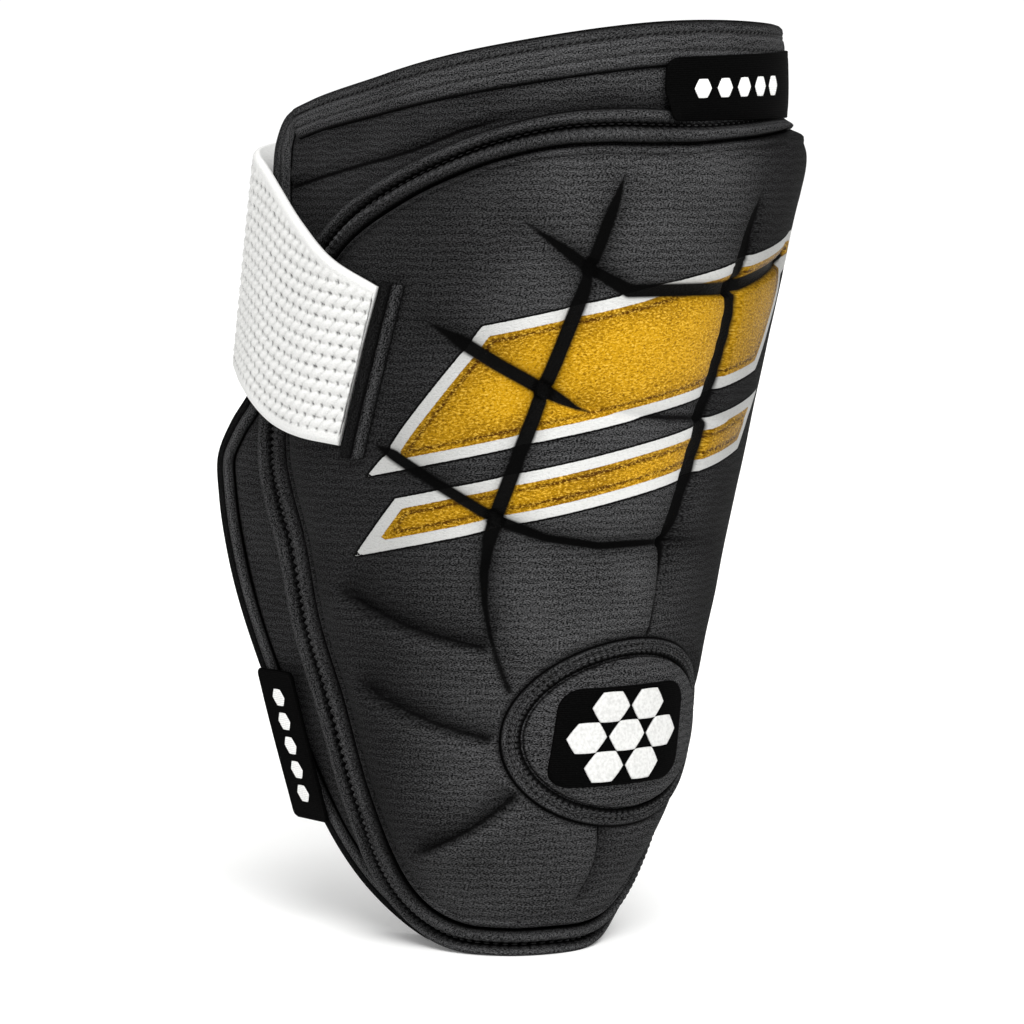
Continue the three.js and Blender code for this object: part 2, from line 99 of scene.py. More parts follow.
def shellLift(height):
    return wallShape["toeLift"] * (1 - smoothStep(height, wallShape["liftFull"], wallShape["liftEnd"]))


def lengthAlong(path):
    return np.concatenate([[0], np.cumsum(np.linalg.norm(np.diff(path, axis=0), axis=1))])


# Points of a path at the given lengths along it
def pointsAt(path, length, at):
    return np.stack([np.interp(at, length, path[:, k]) for k in range(path.shape[1])], -1)


# Smooth path: centripetal Catmull-Rom through the corners, then stepped evenly by length
def smoothPath(corners, count, closed=False, perSpan=40):
    p = np.asarray(corners, float)
    ends = (p[-1:], p[:2]) if closed else (2 * p[:1] - p[1:2], 2 * p[-1:] - p[-2:-1])
    ring = np.concatenate([ends[0], p, ends[1]])
    p0, p1, p2, p3 = ring[:-3], ring[1:-2], ring[2:-1], ring[3:]
    d = np.sqrt(np.linalg.norm(np.diff(ring, axis=0), axis=1))[:, None]
    d0, d1, d2 = d[:-2], d[1:-1], d[2:]
    m1 = d1 * ((p1 - p0) / d0 - (p2 - p0) / (d0 + d1) + (p2 - p1) / d1)
    m2 = d1 * ((p2 - p1) / d1 - (p3 - p1) / (d1 + d2) + (p3 - p2) / d2)
    t = np.linspace(0, 1, perSpan, endpoint=False)[:, None, None]
    fine = p1 + t * (m1 + t * (3 * (p2 - p1) - 2 * m1 - m2 + t * (2 * (p1 - p2) + m1 + m2)))
    fine = np.concatenate([fine.transpose(1, 0, 2).reshape(-1, p.shape[1]), p2[-1:]])
    length = lengthAlong(fine)
    even = np.linspace(0, length[-1], count)
    return pointsAt(fine, length, even), even


# Outline: one closed smooth path, with half of its points on each side of the top, its inward direction and
# its length so far. The top is where it crosses the front ridge in its upper half.
def smoothOutline(corners, count, upperHalf=100):
    fine, length = smoothPath(corners, 8 * count + 1, closed=True)
    top = np.argmin(np.abs(fine[:, 0]) + 1e3 * (fine[:, 1] < upperHalf))
    right = np.linspace(0, length[top], count // 2, endpoint=False)
    even = np.concatenate([right, np.linspace(length[top], length[-1], count // 2 + 1)])
    path = pointsAt(fine, length, even)
    return path, inwardOf(path, closed=True), even


def inwardOf(path, closed=False):
    before, after = (path[-2:-1], path[1:2]) if closed else (path[:1], path[-1:])
    ring = np.concatenate([before, path, after])
    along = ring[2:] - ring[:-2]
    along /= np.linalg.norm(along, axis=1, keepdims=True)
    return np.stack([-along[:, 1], along[:, 0]], -1)


def gridFaces(rows, cols, count):
    a = np.arange(rows - 1)[:, None] * cols + np.arange(cols - 1)
    one = np.stack([a, a + 1, a + cols + 1, a + cols], -1).reshape(-1, 4)
    return (one + np.arange(count)[:, None, None] * rows * cols).reshape(-1, 4)


# Mesh object from one or more grids of points: points are kept above the floor, those that meet are welded,
# empty faces are dropped, and a closed mesh is turned outwards
def addPiece(name, points, material, uv=None, fields=None, replaces=()):
    rows, cols = points.shape[-3:-1]
    points = points.reshape(-1, 3)
    points[:, 2] = np.maximum(points[:, 2], 0)
    faces = gridFaces(rows, cols, len(points) // (rows * cols))
    keys = np.round(points * 1e7).astype(np.int64)
    _, first, back = np.unique(keys, axis=0, return_index=True, return_inverse=True)
    welded = back.reshape(-1)[faces]
    differs = welded != np.roll(welded, -1, axis=1)
    corners = differs.sum(1)
    four, three = corners == 4, corners == 3
    triangles = welded[three][differs[three]].reshape(-1, 3)
    triangleSource = faces[three][differs[three]].reshape(-1, 3)
    quads, quadSource = welded[four], faces[four]
    kept = points[first]
    halves = np.concatenate([quads[:, :3], quads[:, [0, 2, 3]], triangles])
    a, b, c = (kept[halves[:, k]] for k in range(3))
    if (a * np.cross(b, c)).sum() < 0:
        quads, quadSource = quads[:, ::-1], quadSource[:, ::-1]
        triangles, triangleSource = triangles[:, ::-1], triangleSource[:, ::-1]
    mesh = bpy.data.meshes.new(name)
    mesh.from_pydata(kept.tolist(), [], quads.tolist() + triangles.tolist())
    if uv is not None:
        source = np.concatenate([quadSource.ravel(), triangleSource.ravel()])
        layer = mesh.uv_layers.new(name="flat")
        layer.data.foreach_set("uv", (uv.reshape(-1, 2)[source] * mm).ravel().astype(np.float32))
    for key, values in (fields or {}).items():
        data = mesh.attributes.new(key, "FLOAT", "POINT").data
        data.foreach_set("value", values.reshape(-1)[first].astype(np.float32))
    mesh.polygons.foreach_set("use_smooth", np.ones(len(mesh.polygons), bool))
    mesh.materials.append(material)
    piece = bpy.data.objects.new(name, mesh)
    bpy.context.collection.objects.link(piece)
    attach(piece, "root")
    if replaces:
        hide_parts(*replaces)
    print(name, len(kept), "points", 2 * len(quads) + len(triangles), "triangles")
    return piece


def linear(colour):
    s = np.array([int(colour[k:k + 2], 16) for k in (1, 3, 5)]) / 255
    return (*np.where(s <= 0.04045, s / 12.92, ((s + 0.055) / 1.055) ** 2.4), 1.0)


# Adds a node, sets its settings, sets or links each input, by name or in order, and gives one of its outputs
def addNode(tree, kind, inputs=(), operation=None, out=0, **settings):
    made = tree.nodes.new("ShaderNode" + kind)
    if operation:
        made.operation = operation
    for key, value in settings.items():
        setattr(made, key, value)
    for socket, value in inputs.items() if isinstance(inputs, dict) else enumerate(inputs):
        if isinstance(value, bpy.types.NodeSocket):
            tree.links.new(value, made.inputs[socket])
        else:
            made.inputs[socket].default_value = linear(value) if isinstance(value, str) else value
    return made.outputs[out] if len(made.outputs) else None


colourMix = {"out": 2, "data_type": "RGBA"}  # a Mix node of two colours, sockets 6 and 7


def newMaterial(name):
    material = bpy.data.materials.new(name)
    material.use_nodes = True
    material.node_tree.nodes.clear()
    return material, partial(addNode, material.node_tree)


def flatMillimetres(node):
    return node("VectorMath", {0: node("UVMap", uv_map="flat"), "Scale": 1000.0}, "SCALE")


# The look holds the constant values of the shader's own sockets, and the depth of the relief in metres
def finishMaterial(node, look, colour, height, **linked):
    bump = node("Bump", {"Height": height, "Strength": 1.0, "Distance": look["bump"]})
    shader = node("BsdfPrincipled", {**look["shader"], **linked, "Base Color": colour, "Normal": bump})
    node("OutputMaterial", {"Surface": shader})


jersey = {
    "dark": "#050505", "light": "#575758", "black": "#020202",
    "speckSize": 0.38,  # the heather's flecks are about 0.3 mm, drawn coarser to show
    "ribPitch": 2.0, "ribShare": 0.2,
    "shader": {"Roughness": 0.9, "Specular IOR Level": 0.03}, "bump": 0.00018,
}


# Heather jersey: fine-knitted polyester yarns of two greys, so flecks of light and dark with soft level ribs.
# The attribute "black" darkens the cloth: it is black cloth where the cloth is black, and painted shade
# elsewhere.
# "fold" is the distance past a fold's line, and the last attribute how strong a painted dark line along the
# fold is there.
def jerseyPattern(node):
    place = flatMillimetres(node)
    stretched = node("VectorMath", [place, (0.85, 1.25, 1.0)], "MULTIPLY")
    fleck = node("TexNoise", {
        "Vector": stretched, "Scale": 1 / jersey["speckSize"], "Detail": 2.0, "Roughness": 0.65})
    wander = node("TexNoise", {"Vector": place, "Scale": 0.22, "Detail": 1.0})
    level = node("SeparateXYZ", [place], out=1)
    turns = node("Math", [level, 2 * math.pi / jersey["ribPitch"]], "MULTIPLY")
    phase = node("Math", [wander, 9.0, turns], "MULTIPLY_ADD")
    rib = node("Math", [phase], "SINE")
    patch = node("TexNoise", {"Vector": place, "Scale": 0.06, "Detail": 2.0})
    spread = node("MapRange", [fleck, 0.4, 0.66])
    ribbed = node("Math", [rib, jersey["ribShare"] / 2, spread], "MULTIPLY_ADD")
    uneven = node("Math", [patch, 0.35, -0.2], "MULTIPLY_ADD")
    share = node("Math", [ribbed, uneven], "ADD", use_clamp=True)
    cloth = node("Mix", {0: share, 6: jersey["dark"], 7: jersey["light"]}, **colourMix)
    names = ("black", "fold", "foldLineShade")
    black, fold, foldLineShade = (node("Attribute", out=2, attribute_name=name) for name in names)
    fromFold = node("Math", [fold], "ABSOLUTE")
    inFold = node("MapRange", [fromFold, 1.5, 0.25, 0.0, 0.95])
    folded = node("Math", [inFold, foldLineShade], "MULTIPLY")
    # The darkening is black cloth and painted shade, with a painted shade line along each fold
    darkest = node("Math", [black, folded], "MAXIMUM")
    colour = node("Mix", {0: darkest, 6: cloth, 7: jersey["black"]}, **colourMix)
    relief = node("Math", [rib, 0.12, fleck], "MULTIPLY_ADD")
    return place, colour, relief


def heatherJersey():
    material, node = newMaterial("heather_polyester_jersey")
    _, colour, relief = jerseyPattern(node)
    finishMaterial(node, jersey, colour, relief)
    return material


printInk = {
    "gold": "#c4930f", "goldDark": "#4e2c00", "goldBright": "#f2c655",
    "white": "#cfcfcd", "whiteDark": "#8c8c8a", "line": "#030303",
    "whiteWidth": 2.7, "lineWidth": 0.45, "pressedAt": 4.2, "grainSize": 0.55,
    "roughness": 0.46, "metallic": 0.3, "shader": {"Specular IOR Level": 0.05}, "bump": 0.0002,
}


# Printed jersey: foil-like gold and white ink pressed on the knit, so a leathery grain with soft gloss.
# The attribute "print" is the distance outside the print, "channel" the distance outside a sewn channel, and
# "black" the painted shade.
def printedJersey():
    material, node = newMaterial("printed_polyester_jersey")
    place, colour, relief = jerseyPattern(node)
    names = ("print", "channel", "black")
    inked, channel, black = (node("Attribute", out=2, attribute_name=name) for name in names)
    drawn = node("VectorMath", [place, (0.8, 1.2, 1.0)], "MULTIPLY")
    grain = node("TexNoise", {
        "Vector": drawn, "Scale": 1 / printInk["grainSize"], "Detail": 3.0, "Roughness": 0.6,
        "Distortion": 0.6})
    ragged = node("Math", [grain, 0.3, inked], "MULTIPLY_ADD")
    edge = node("Math", [ragged, 0.15], "SUBTRACT")
    goldEdge, lineEdge = -printInk["whiteWidth"], printInk["lineWidth"]
    inWhite = node("MapRange", [edge, 0.06, -0.06])
    inGold = node("MapRange", [edge, goldEdge + 0.08, goldEdge - 0.08])
    inLine = node("MapRange", [edge, lineEdge + 0.3, lineEdge - 0.1])
    inChannel = node("MapRange", [channel, 0.35, -0.25])
    fromPress = node("Math", [edge, printInk["pressedAt"]], "ADD")
    nearPress = node("Math", [fromPress], "ABSOLUTE")
    pressed = node("MapRange", [nearPress, 0.75, 0.1])
    goldGrain = node("MapRange", [grain, 0.3, 0.65, 0.25, 1.5])
    # Painted shade: the gold is darker near the band's edges and lighter inward, with cloudy uneven tone
    inside = node("MapRange", [edge, -2.0, -11.0])
    cloudy = node("TexNoise", {"Vector": place, "Scale": 0.07, "Detail": 1.0})
    edgeShadeAndCloud = node("Math", [inside, 0.5, cloudy], "MULTIPLY_ADD")
    shaded = node("Math", [edgeShadeAndCloud, goldGrain], "MULTIPLY")
    leathery = node("Math", [pressed, -0.45, shaded], "MULTIPLY_ADD", use_clamp=True)
    deepGold = node("Mix", {0: leathery, 6: printInk["goldDark"], 7: printInk["gold"]}, **colourMix)
    # Painted highlight: the tops of the grain turn bright gold, as glints
    glint = node("MapRange", [grain, 0.52, 0.72, 0.0, 0.75])
    gold = node("Mix", {0: glint, 6: deepGold, 7: printInk["goldBright"]}, **colourMix)
    whiteGrain = node("MapRange", [grain, 0.25, 0.5, 0.72])
    white = node("Mix", {0: whiteGrain, 6: printInk["whiteDark"], 7: printInk["white"]}, **colourMix)
    # Painted shade: the ink is dimmed where the attribute "black" holds painted shade
    inkShade = node("Math", [black, inWhite], "MULTIPLY")
    dimmed = node("Math", [inkShade, 0.55], "MULTIPLY")
    line = printInk["line"]
    for share, layer in ((inLine, line), (inWhite, white), (inGold, gold), (dimmed, line), (inChannel, line)):
        colour = node("Mix", {0: share, 6: colour, 7: layer}, **colourMix)
    goldShows = node("Math", [inGold, inChannel], "SUBTRACT", use_clamp=True)
    metallic = node("Math", [goldShows, printInk["metallic"]], "MULTIPLY")
    roughness = node("MapRange", [inWhite, 0.0, 1.0, jersey["shader"]["Roughness"], printInk["roughness"]])
    inkRelief = node("Math", [grain, 1.8], "MULTIPLY")
    pressedRelief = node("Math", [pressed, -0.5, inkRelief], "MULTIPLY_ADD")
    surface = node("Mix", {0: inWhite, 2: relief, 3: pressedRelief}, data_type="FLOAT")
    finishMaterial(node, printInk, colour, surface, Metallic=metallic, Roughness=roughness)
    return material


elastic = {
    "white": "#d7d7d5", "hole": "#252524", "yarn": 0.45,
    "shader": {"Roughness": 0.7, "Sheen Weight": 0.1}, "bump": 0.00012,
}


# Knitted elastic: thick white polyester yarn over rubber, so bright rounded loops with pinholes between them,
# darkened by painted shade. The attribute "hole" is how deep a place lies in a pinhole, and how much painted
# shade it gets.
def whiteElastic():
    material, node = newMaterial("white_knitted_elastic")
    deep = node("Attribute", out=2, attribute_name="hole")
    yarn = node("TexNoise", {"Vector": flatMillimetres(node), "Scale": 1 / elastic["yarn"], "Detail": 2.0})
    shade = node("MapRange", [yarn, 0.3, 0.7, -0.12, 0.08])
    share = node("Math", [deep, shade], "SUBTRACT", use_clamp=True)
    colour = node("Mix", {0: share, 6: elastic["white"], 7: elastic["hole"]}, **colourMix)
    finishMaterial(node, elastic, colour, yarn)
    return material


satin = {
    "black": ("#010101", "#070707"), "white": ("#d2d2d0", "#f0f0ee"), "pitch": 0.5,
    "shader": {"Roughness": 0.8, "Specular IOR Level": 0.02}, "bump": 0.00008,
}


# Woven satin label: fine polyester, so a smooth face with faint level threads
def wovenSatin(name, ground, bright):
    material, node = newMaterial(name)
    place = flatMillimetres(node)
    level = node("SeparateXYZ", [place], out=1)
    turns = node("Math", [level, 2 * math.pi / satin["pitch"]], "MULTIPLY")
    weave = node("Math", [turns], "SINE")
    fleck = node("TexNoise", {"Vector": place, "Scale": 2.2, "Detail": 2.0})
    mixed = node("Math", [weave, 0.18, fleck], "MULTIPLY_ADD")
    share = node("MapRange", [mixed, 0.3, 0.8])
    colour = node("Mix", {0: share, 6: ground, 7: bright}, **colourMix)
    finishMaterial(node, satin, colour, mixed)
    return material


# Silicone transfer: moulded white rubber with a faint pebbled face
silicone = {
    "colours": ("#cacac8", "#a2a2a0"), "perMetre": 1400.0, "detail": 2.0, "range": (0.4, 0.7, 0.5),
    "shader": {"Roughness": 0.5}, "bump": 0.00006,
}
# Sewing thread: bonded polyester, darker than the cloth, with a faint twist
thread = {
    "colours": ("#080808", "#1e1e1f"), "perMetre": 2000.0, "detail": 1.0, "range": (0.35, 0.65, 1.0),
    "shader": {"Roughness": 0.6}, "bump": 0.00006,
}


# Two colours mixed by one fine noise, which gives the relief too
def fleckedMaterial(name, look):
    material, node = newMaterial(name)
    place = node("TexCoord", out="Object")
    fleck = node("TexNoise", {"Vector": place, "Scale": look["perMetre"], "Detail": look["detail"]})
    low, high, most = look["range"]
    share = node("MapRange", [fleck, low, high, 0.0, most])
    colour = node("Mix", {0: share, 6: look["colours"][0], 7: look["colours"][1]}, **colourMix)
    finishMaterial(node, look, colour, fleck)
    return material


jerseyCloth, printedCloth, elasticCloth = heatherJersey(), printedJersey(), whiteElastic()
siliconeRubber = fleckedMaterial("white_silicone_transfer", silicone)
threadCord = fleckedMaterial("grey_sewing_thread", thread)
satinCloth = wovenSatin("black_woven_satin", *satin["black"])
satinPattern = wovenSatin("white_woven_satin", *satin["white"])
print("materials made")


# Rings of a pad: the outline moved in by each inset, then a share of the way to an upright spine inside it
def padRings(outline, inward, insets, shares, spine):
    low, high = outline[:, 1].min(), outline[:, 1].max()
    climb = ((outline[:, 1] + outline[::-1, 1]) / 2 - low) / (high - low)
    middle = (outline[:, 0].max() + outline[:, 0].min()) / 2
    core = np.stack([np.full(len(outline), middle), spine[0] + (spine[1] - spine[0]) * climb], -1)
    shares = np.asarray(shares, float)[:, None, None]
    moved = outline + np.broadcast_to(insets, (len(shares), len(outline)))[..., None] * inward
    return moved + (core - moved) * shares


# Distance from each place to a path, positive on its left, and how far along the path its nearest point lies,
# as a share of its length
def pathField(places, path):
    best, share, side = (np.full(places.shape[:-1], first) for first in (1e9, 0.0, 1.0))
    length = lengthAlong(path)
    for k in range(len(path) - 1):
        step, away = path[k + 1] - path[k], places - path[k]
        t = np.clip((away @ step) / (step @ step), 0, 1)
        reach = np.linalg.norm(away - t[..., None] * step, axis=-1)
        nearer = reach < best
        best = np.where(nearer, reach, best)
        share = np.where(nearer, (length[k] + t * (length[k + 1] - length[k])) / length[-1], share)
        side = np.where(nearer, np.sign(away @ [-step[1], step[0]] + 1e-9), side)
    return best * side, share


def placesAcross(path, inward, insets):
    return path[:, None] + insets[..., None] * inward[:, None]


# Cloth coordinates of a band: length along the path, and length round the profile
def bandCloth(length, insets, outs):
    step = np.hypot(np.diff(insets, prepend=insets[:, :1]), np.diff(outs, prepend=outs[:, :1]))
    return np.stack([np.broadcast_to(length[:, None], step.shape), np.cumsum(step, axis=1)], -1)


# An open band is closed by a row of points at the middle of its first and of its last profile
def withEnds(values):
    middle = lambda row: np.broadcast_to(row.mean(axis=0), row.shape)[None]
    return np.concatenate([middle(values[0]), values, middle(values[-1])])


# Band of jersey: a profile of inset, out and black carried along a line on the wall, which is a path, its
# inward direction and its length so far
def addBand(name, line, insets, outs, black, replaces, closed=False):
    path, inward, length = line
    shape = (len(path), insets.shape[-1])
    insets, outs, black = (np.broadcast_to(values, shape) for values in (insets, outs, black))
    points, cloth = wallPoint(placesAcross(path, inward, insets), outs), bandCloth(length, insets, outs)
    if not closed:
        points, cloth, black = withEnds(points), withEnds(cloth), withEnds(black)
    return addPiece(name, points, jerseyCloth, uv=cloth, fields={"black": black}, replaces=replaces)


# Ripples: a wave across that sways with height, times a wave up
def ripples(flat, depth, across, sway, swayHeight, up):
    wave = np.sin(flat[..., 0] / across + sway * np.sin(flat[..., 1] / swayHeight))
    return depth * wave * np.sin(flat[..., 1] / up)


liner = {
    "corners": [
        [0, -1.6], [12, -1.6], [20.5, 0.4], [30, 5], [42, 13], [56, 24], [71, 38], [87, 57], [98.5, 76],
        [106.5, 94], [112, 110], [114, 121], [110, 130], [103.5, 139], [100.5, 150], [101.5, 163], [105, 178],
        [109.5, 192], [111.5, 203], [109.5, 210.5], [100, 215.5], [80, 221.2], [62, 224.6], [40, 226.4],
        [0, 227.8], [-40, 224.3], [-73, 219.4], [-100, 214.6], [-109.5, 210.5], [-112, 202], [-109.5, 190],
        [-105, 178], [-101.5, 163], [-100.5, 150], [-103.5, 139], [-110, 130], [-114, 121], [-112, 110],
        [-106.5, 94], [-98.5, 75], [-88, 54], [-75, 31.5], [-63, 17], [-50.5, 6.8], [-39, 1], [-28.5, -1.3],
        [-16, -1.6],
    ],
    "thickness": 3.6, "bindingWidth": 6.0, "hemWidth": 10.0, "cornerHeight": 212.3,
    "around": 480, "rings": 64, "spine": (40, 185), "gap": 0.3, "ripple": (0.22, 6.1, 1.3, 19, 8.3),
    "tuckRate": 60, "outerTuck": 0.5, "innerTuck": 0.4, "seamShadeRate": 45,  # both faces curl in at the edge, and painted shade runs along it
    # painted shade: less of it along the edge up by the cuff, some beside the shell's border and on the left
    "cuffFade": 0.7, "borderShade": 0.65, "leftSideShade": 0.5,
}
linerPath, linerIn, linerLength = smoothOutline(liner["corners"], liner["around"])
onHem = linerPath[:, 1] > liner["cornerHeight"]
hemRight, hemLeft = linerPath[onHem][[0, -1], 0]
fromHemEnd = np.minimum(hemRight - linerPath[:, 0], linerPath[:, 0] - hemLeft)
underHem = np.where(onHem, smoothStep(fromHemEnd, 0, 12), 0) * (liner["hemWidth"] - liner["bindingWidth"])
# The doubled cloth under the hem ends in a soft step across the left of the cuff
cuffFold = {
    "path": [[-106.3, 187.8], [-85.1, 193.0], [-60.4, 198.7], [-47.0, 203.7], [-23.9, 209.1]], "depth": 0.9,
}


# Liner: two faces joined round the edge, crowned a little between its seams
def addLiner():
    shares = np.linspace(0, 1, liner["rings"])
    start = liner["bindingWidth"] + underHem + liner["gap"]
    flat = padRings(linerPath, linerIn, start, shares, liner["spine"])
    tuck = np.minimum(shares * liner["tuckRate"], 1)[:, None] ** 0.5
    ripple = ripples(flat, *liner["ripple"])
    away, share = pathField(flat, smoothPath(cuffFold["path"], 40)[0])
    taper = smoothStep(share, 0, 0.02) * (1 - smoothStep(share, 0.75, 1)) * tuck
    step = bell(away, 2.6, 2.2) - bell(away, 0, 1.5)
    outer = -liner["outerTuck"] + (liner["outerTuck"] + ripple) * tuck + cuffFold["depth"] * taper * step
    inner = -liner["thickness"] + liner["innerTuck"] - (liner["innerTuck"] + ripple) * tuck
    besideHem = 1 - smoothStep(underHem, 0, 3)
    # Painted shade on the outer face: along the edge, fading up by the cuff, beside the shell's border and
    # towards the left
    seamShadeKept = 1 - liner["cuffFade"] * smoothStep(flat[..., 1], 150, 180) * besideHem
    edgeSeamShade = np.exp(-(shares[:, None] * liner["seamShadeRate"]) ** 1.5) * seamShadeKept
    fromBorder = pathField(flat, smoothPath(border["corners"], 160, closed=True)[0])[0]
    leftShade = liner["leftSideShade"] * smoothStep(-flat[..., 0], 5, 45)
    seam = np.maximum(edgeSeamShade, np.maximum(liner["borderShade"] * bell(fromBorder, 0, 5), leftShade))
    both = lambda inside, outside: np.concatenate([inside[::-1], outside])
    piece = addPiece(
        "liner_pad", wallPoint(both(flat, flat), both(inner, outer)), jerseyCloth,
        uv=both(flat, flat),
        fields={"black": both(0 * seam, seam), "fold": both(away, away),
                "foldLineShade": both(0 * taper, taper * (np.abs(away) < foldShape["lineReach"]))},
        replaces=["liner"])


binding = {
    # inset, out, black: inner flap, black edge roll, a jersey ridge, and the flap over the liner's edge
    # black is the roll's own black cloth, and painted shade in the groove before the ridge and at the flap's
    # edge
    "profile": np.array([
        [7.0, -3.75, 1], [6.6, -4.2, 1], [1.5, -4.2, 1], [0.45, -3.6, 1], [0, -2.3, 1], [0, -0.5, 1],
        [0.45, 0.6, 1], [1.2, 1.2, 1], [2.0, 1.2, 0.9], [2.6, 0.75, 0.9], [2.95, 0.4, 1], [3.3, 0.75, 0.5],
        [3.9, 1.35, 0], [4.6, 1.6, 0], [5.4, 1.45, 0], [6.2, 0.9, 0.3], [6.8, 0.3, 1], [6.9, 0.1, 1],
        [5.6, 0.05, 1], [5.6, -3.7, 1], [7.0, -3.75, 1],
    ]),
    "cuff": (130, 175), "flatter": 0.6,
}


# Binding: carried from one end of the hem round the toe to the other end, and flatter beside the cuff
def addBinding():
    inside = np.flatnonzero(~onHem[:-1])
    start = np.flatnonzero(np.diff(inside) > 1)[0] + 1
    first, last = inside[start:start + 1] - 1, inside[start - 1:start] + 1
    order = np.concatenate([first, inside[start:], inside[:start], last])
    path = linerPath[order]
    profile = binding["profile"]
    flatter = binding["flatter"] * smoothStep(path[:, 1], *binding["cuff"])[:, None]
    outs = profile[:, 1] - flatter * np.maximum(profile[:, 1], 0)
    piece = addBand("edge_binding", (path, linerIn[order], lengthAlong(path)), profile[:, 0], outs,
                    profile[:, 2] * (1 - flatter), ["liner_binding"])


hem = {
    # distance from the top edge, or the low edge where the third number is 1, then out, that number, black
    # black is the top roll's own black cloth, and painted shade in the groove below it and along the low edge
    "profile": np.array([
        [-0.8, -3.75, 1, 1], [-0.4, -4.1, 1, 1], [1.5, -4.2, 0, 1], [0.45, -3.6, 0, 1], [0, -2.4, 0, 1],
        [0, -0.6, 0, 1], [0.3, 0.35, 0, 1], [0.9, 0.95, 0, 0.5], [1.7, 1.1, 0, 0], [2.4, 0.85, 0, 0.2],
        [2.8, 0.5, 0, 0.9], [3.2, 0.8, 0, 0.2], [3.9, 1.25, 0, 0], [5.0, 1.4, 0, 0], [3.4, 1.35, 1, 0],
        [3.0, 1.05, 1, 0.5], [2.6, 1.3, 1, 0], [1.5, 1.4, 1, 0], [0.5, 1.2, 1, 0.2], [-0.3, 0.7, 1, 0.9],
        [-0.7, 0.1, 1, 1], [0.5, 0.05, 1, 1], [0.5, -3.7, 1, 1], [-0.8, -3.75, 1, 1],
    ]),
}


# Hem: carried along the liner's top edge
def addHem():
    profile = hem["profile"]
    insets = np.where(profile[:, 2] > 0, liner["hemWidth"] - profile[:, 0], profile[:, 0])
    line = (linerPath[onHem], linerIn[onHem], linerLength[onHem])
    piece = addBand("cuff_hem_band", line, insets, profile[:, 1], profile[:, 3], ["cuff_hem"])


border = {
    "corners": [
        [0, -0.5], [9, -0.5], [16.5, 1], [25, 5.2], [34, 11.8], [44, 22], [54, 35.5], [64, 56], [73, 76],
        [80.5, 97], [87, 108], [92, 118], [94, 129], [94.3, 143], [94, 158], [92.8, 172], [90.5, 186],
        [85.5, 197.5], [76, 205], [62, 208.4], [42, 207.8], [22, 206.6], [10, 206.6], [0, 207.4], [-12, 208],
        [-25, 207.3], [-38, 204.3], [-48, 200.3], [-61, 193.5], [-77, 182.5], [-87.5, 168.5], [-91.5, 156],
        [-93.5, 143], [-94, 129], [-92, 118], [-87.5, 108], [-81.5, 97], [-75, 77], [-67, 58], [-59.5, 36.5],
        [-51.2, 21.5], [-41.5, 11], [-31, 4], [-20.5, 0.4], [-10, -0.5],
    ],
    "widths": [[-1, 7], [20, 10], [60, 11], [130, 11], [170, 9.8], [195, 8.6], [208, 8.6]],  # height, width
    # share of the width, out, black: two ridges with a stitched valley between them
    # black is painted shade in the valley and at both feet
    "profile": np.array([
        [0.03, 0.85, 1], [0, 1.6, 1], [0.01, 2.6, 1], [0.04, 3.6, 0.8], [0.09, 4.5, 0.15], [0.16, 4.9, 0],
        [0.24, 4.8, 0], [0.31, 4.3, 0.1], [0.37, 3.4, 0.4], [0.42, 2.4, 0.9], [0.46, 2.0, 1], [0.5, 2.5, 0.9],
        [0.55, 3.5, 0.4], [0.61, 4.4, 0.1], [0.67, 4.9, 0], [0.74, 5.0, 0], [0.8, 4.8, 0], [0.86, 4.2, 0.15],
        [0.91, 3.4, 0.5], [0.96, 2.8, 1], [0.99, 2.3, 1], [0.985, 0.85, 1], [0.03, 0.85, 1],
    ]),
    "valley": (0.46, 0.1), "swell": (0.68, 0.14),  # middle and width, as shares of the border's width
    "gather": (0.25, 0.7), "gatherFrom": (25, 60),  # least swell, and how much more it swells on the left
    "stitchPitch": 2.0, "notch": 1.0, "pressed": 1.3, "sideShadeShare": 0.35, "around": 1776,
}
borderPath, borderIn, borderLength = smoothOutline(border["corners"], border["around"])

# Places where the pads change: soft steps across and up, each from where it starts to where it is full
zones = {
    "label": ((-3, 6), (202.2, 204.4)),  # the label presses the border flat
    "narrow": ((-8, 24), (188, 203)),  # half of the border lies under the label
    "shoulder": ((34, 58), (181, 198)),  # the padding stands fuller at the right shoulder
    "smooth": ((-5, 20), (178, 192)),  # the crease along the shell's edge runs out
}


def inZone(name, places):
    across, height = zones[name]
    return smoothStep(places[..., 0], *across) * smoothStep(places[..., 1], *height)


def borderWidthAt(path):
    return readTable(border["widths"], 1, path[:, 1]) - 2 * inZone("narrow", path)


borderWidth = borderWidthAt(borderPath)


shadeFrom = {"left": (11, 47), "right": (8, 42), "toe": (18, 80)}
shadeInk = {"left": 0.66, "leftToe": 0.18, "right": 0.76, "toe": 0.3}


# Painted shade: the cloth is darker towards the sides and the toe, where the light falls off
def sideShade(places):
    left = smoothStep(-places[..., 0], *shadeFrom["left"])
    right = smoothStep(places[..., 0], *shadeFrom["right"])
    low = 1 - smoothStep(places[..., 1], *shadeFrom["toe"])
    sides = (shadeInk["left"] + shadeInk["leftToe"] * low) * left + shadeInk["right"] * right
    return np.maximum(sides, shadeInk["toe"] * low)


# Wave that peaks at each needle hole, with a whole number of stitches round a closed path
def stitchBeat(length, pitch):
    stitches = round(length[-1] / pitch)
    return (0.5 + 0.5 * np.cos(2 * np.pi * stitches * length / length[-1]))[:, None]


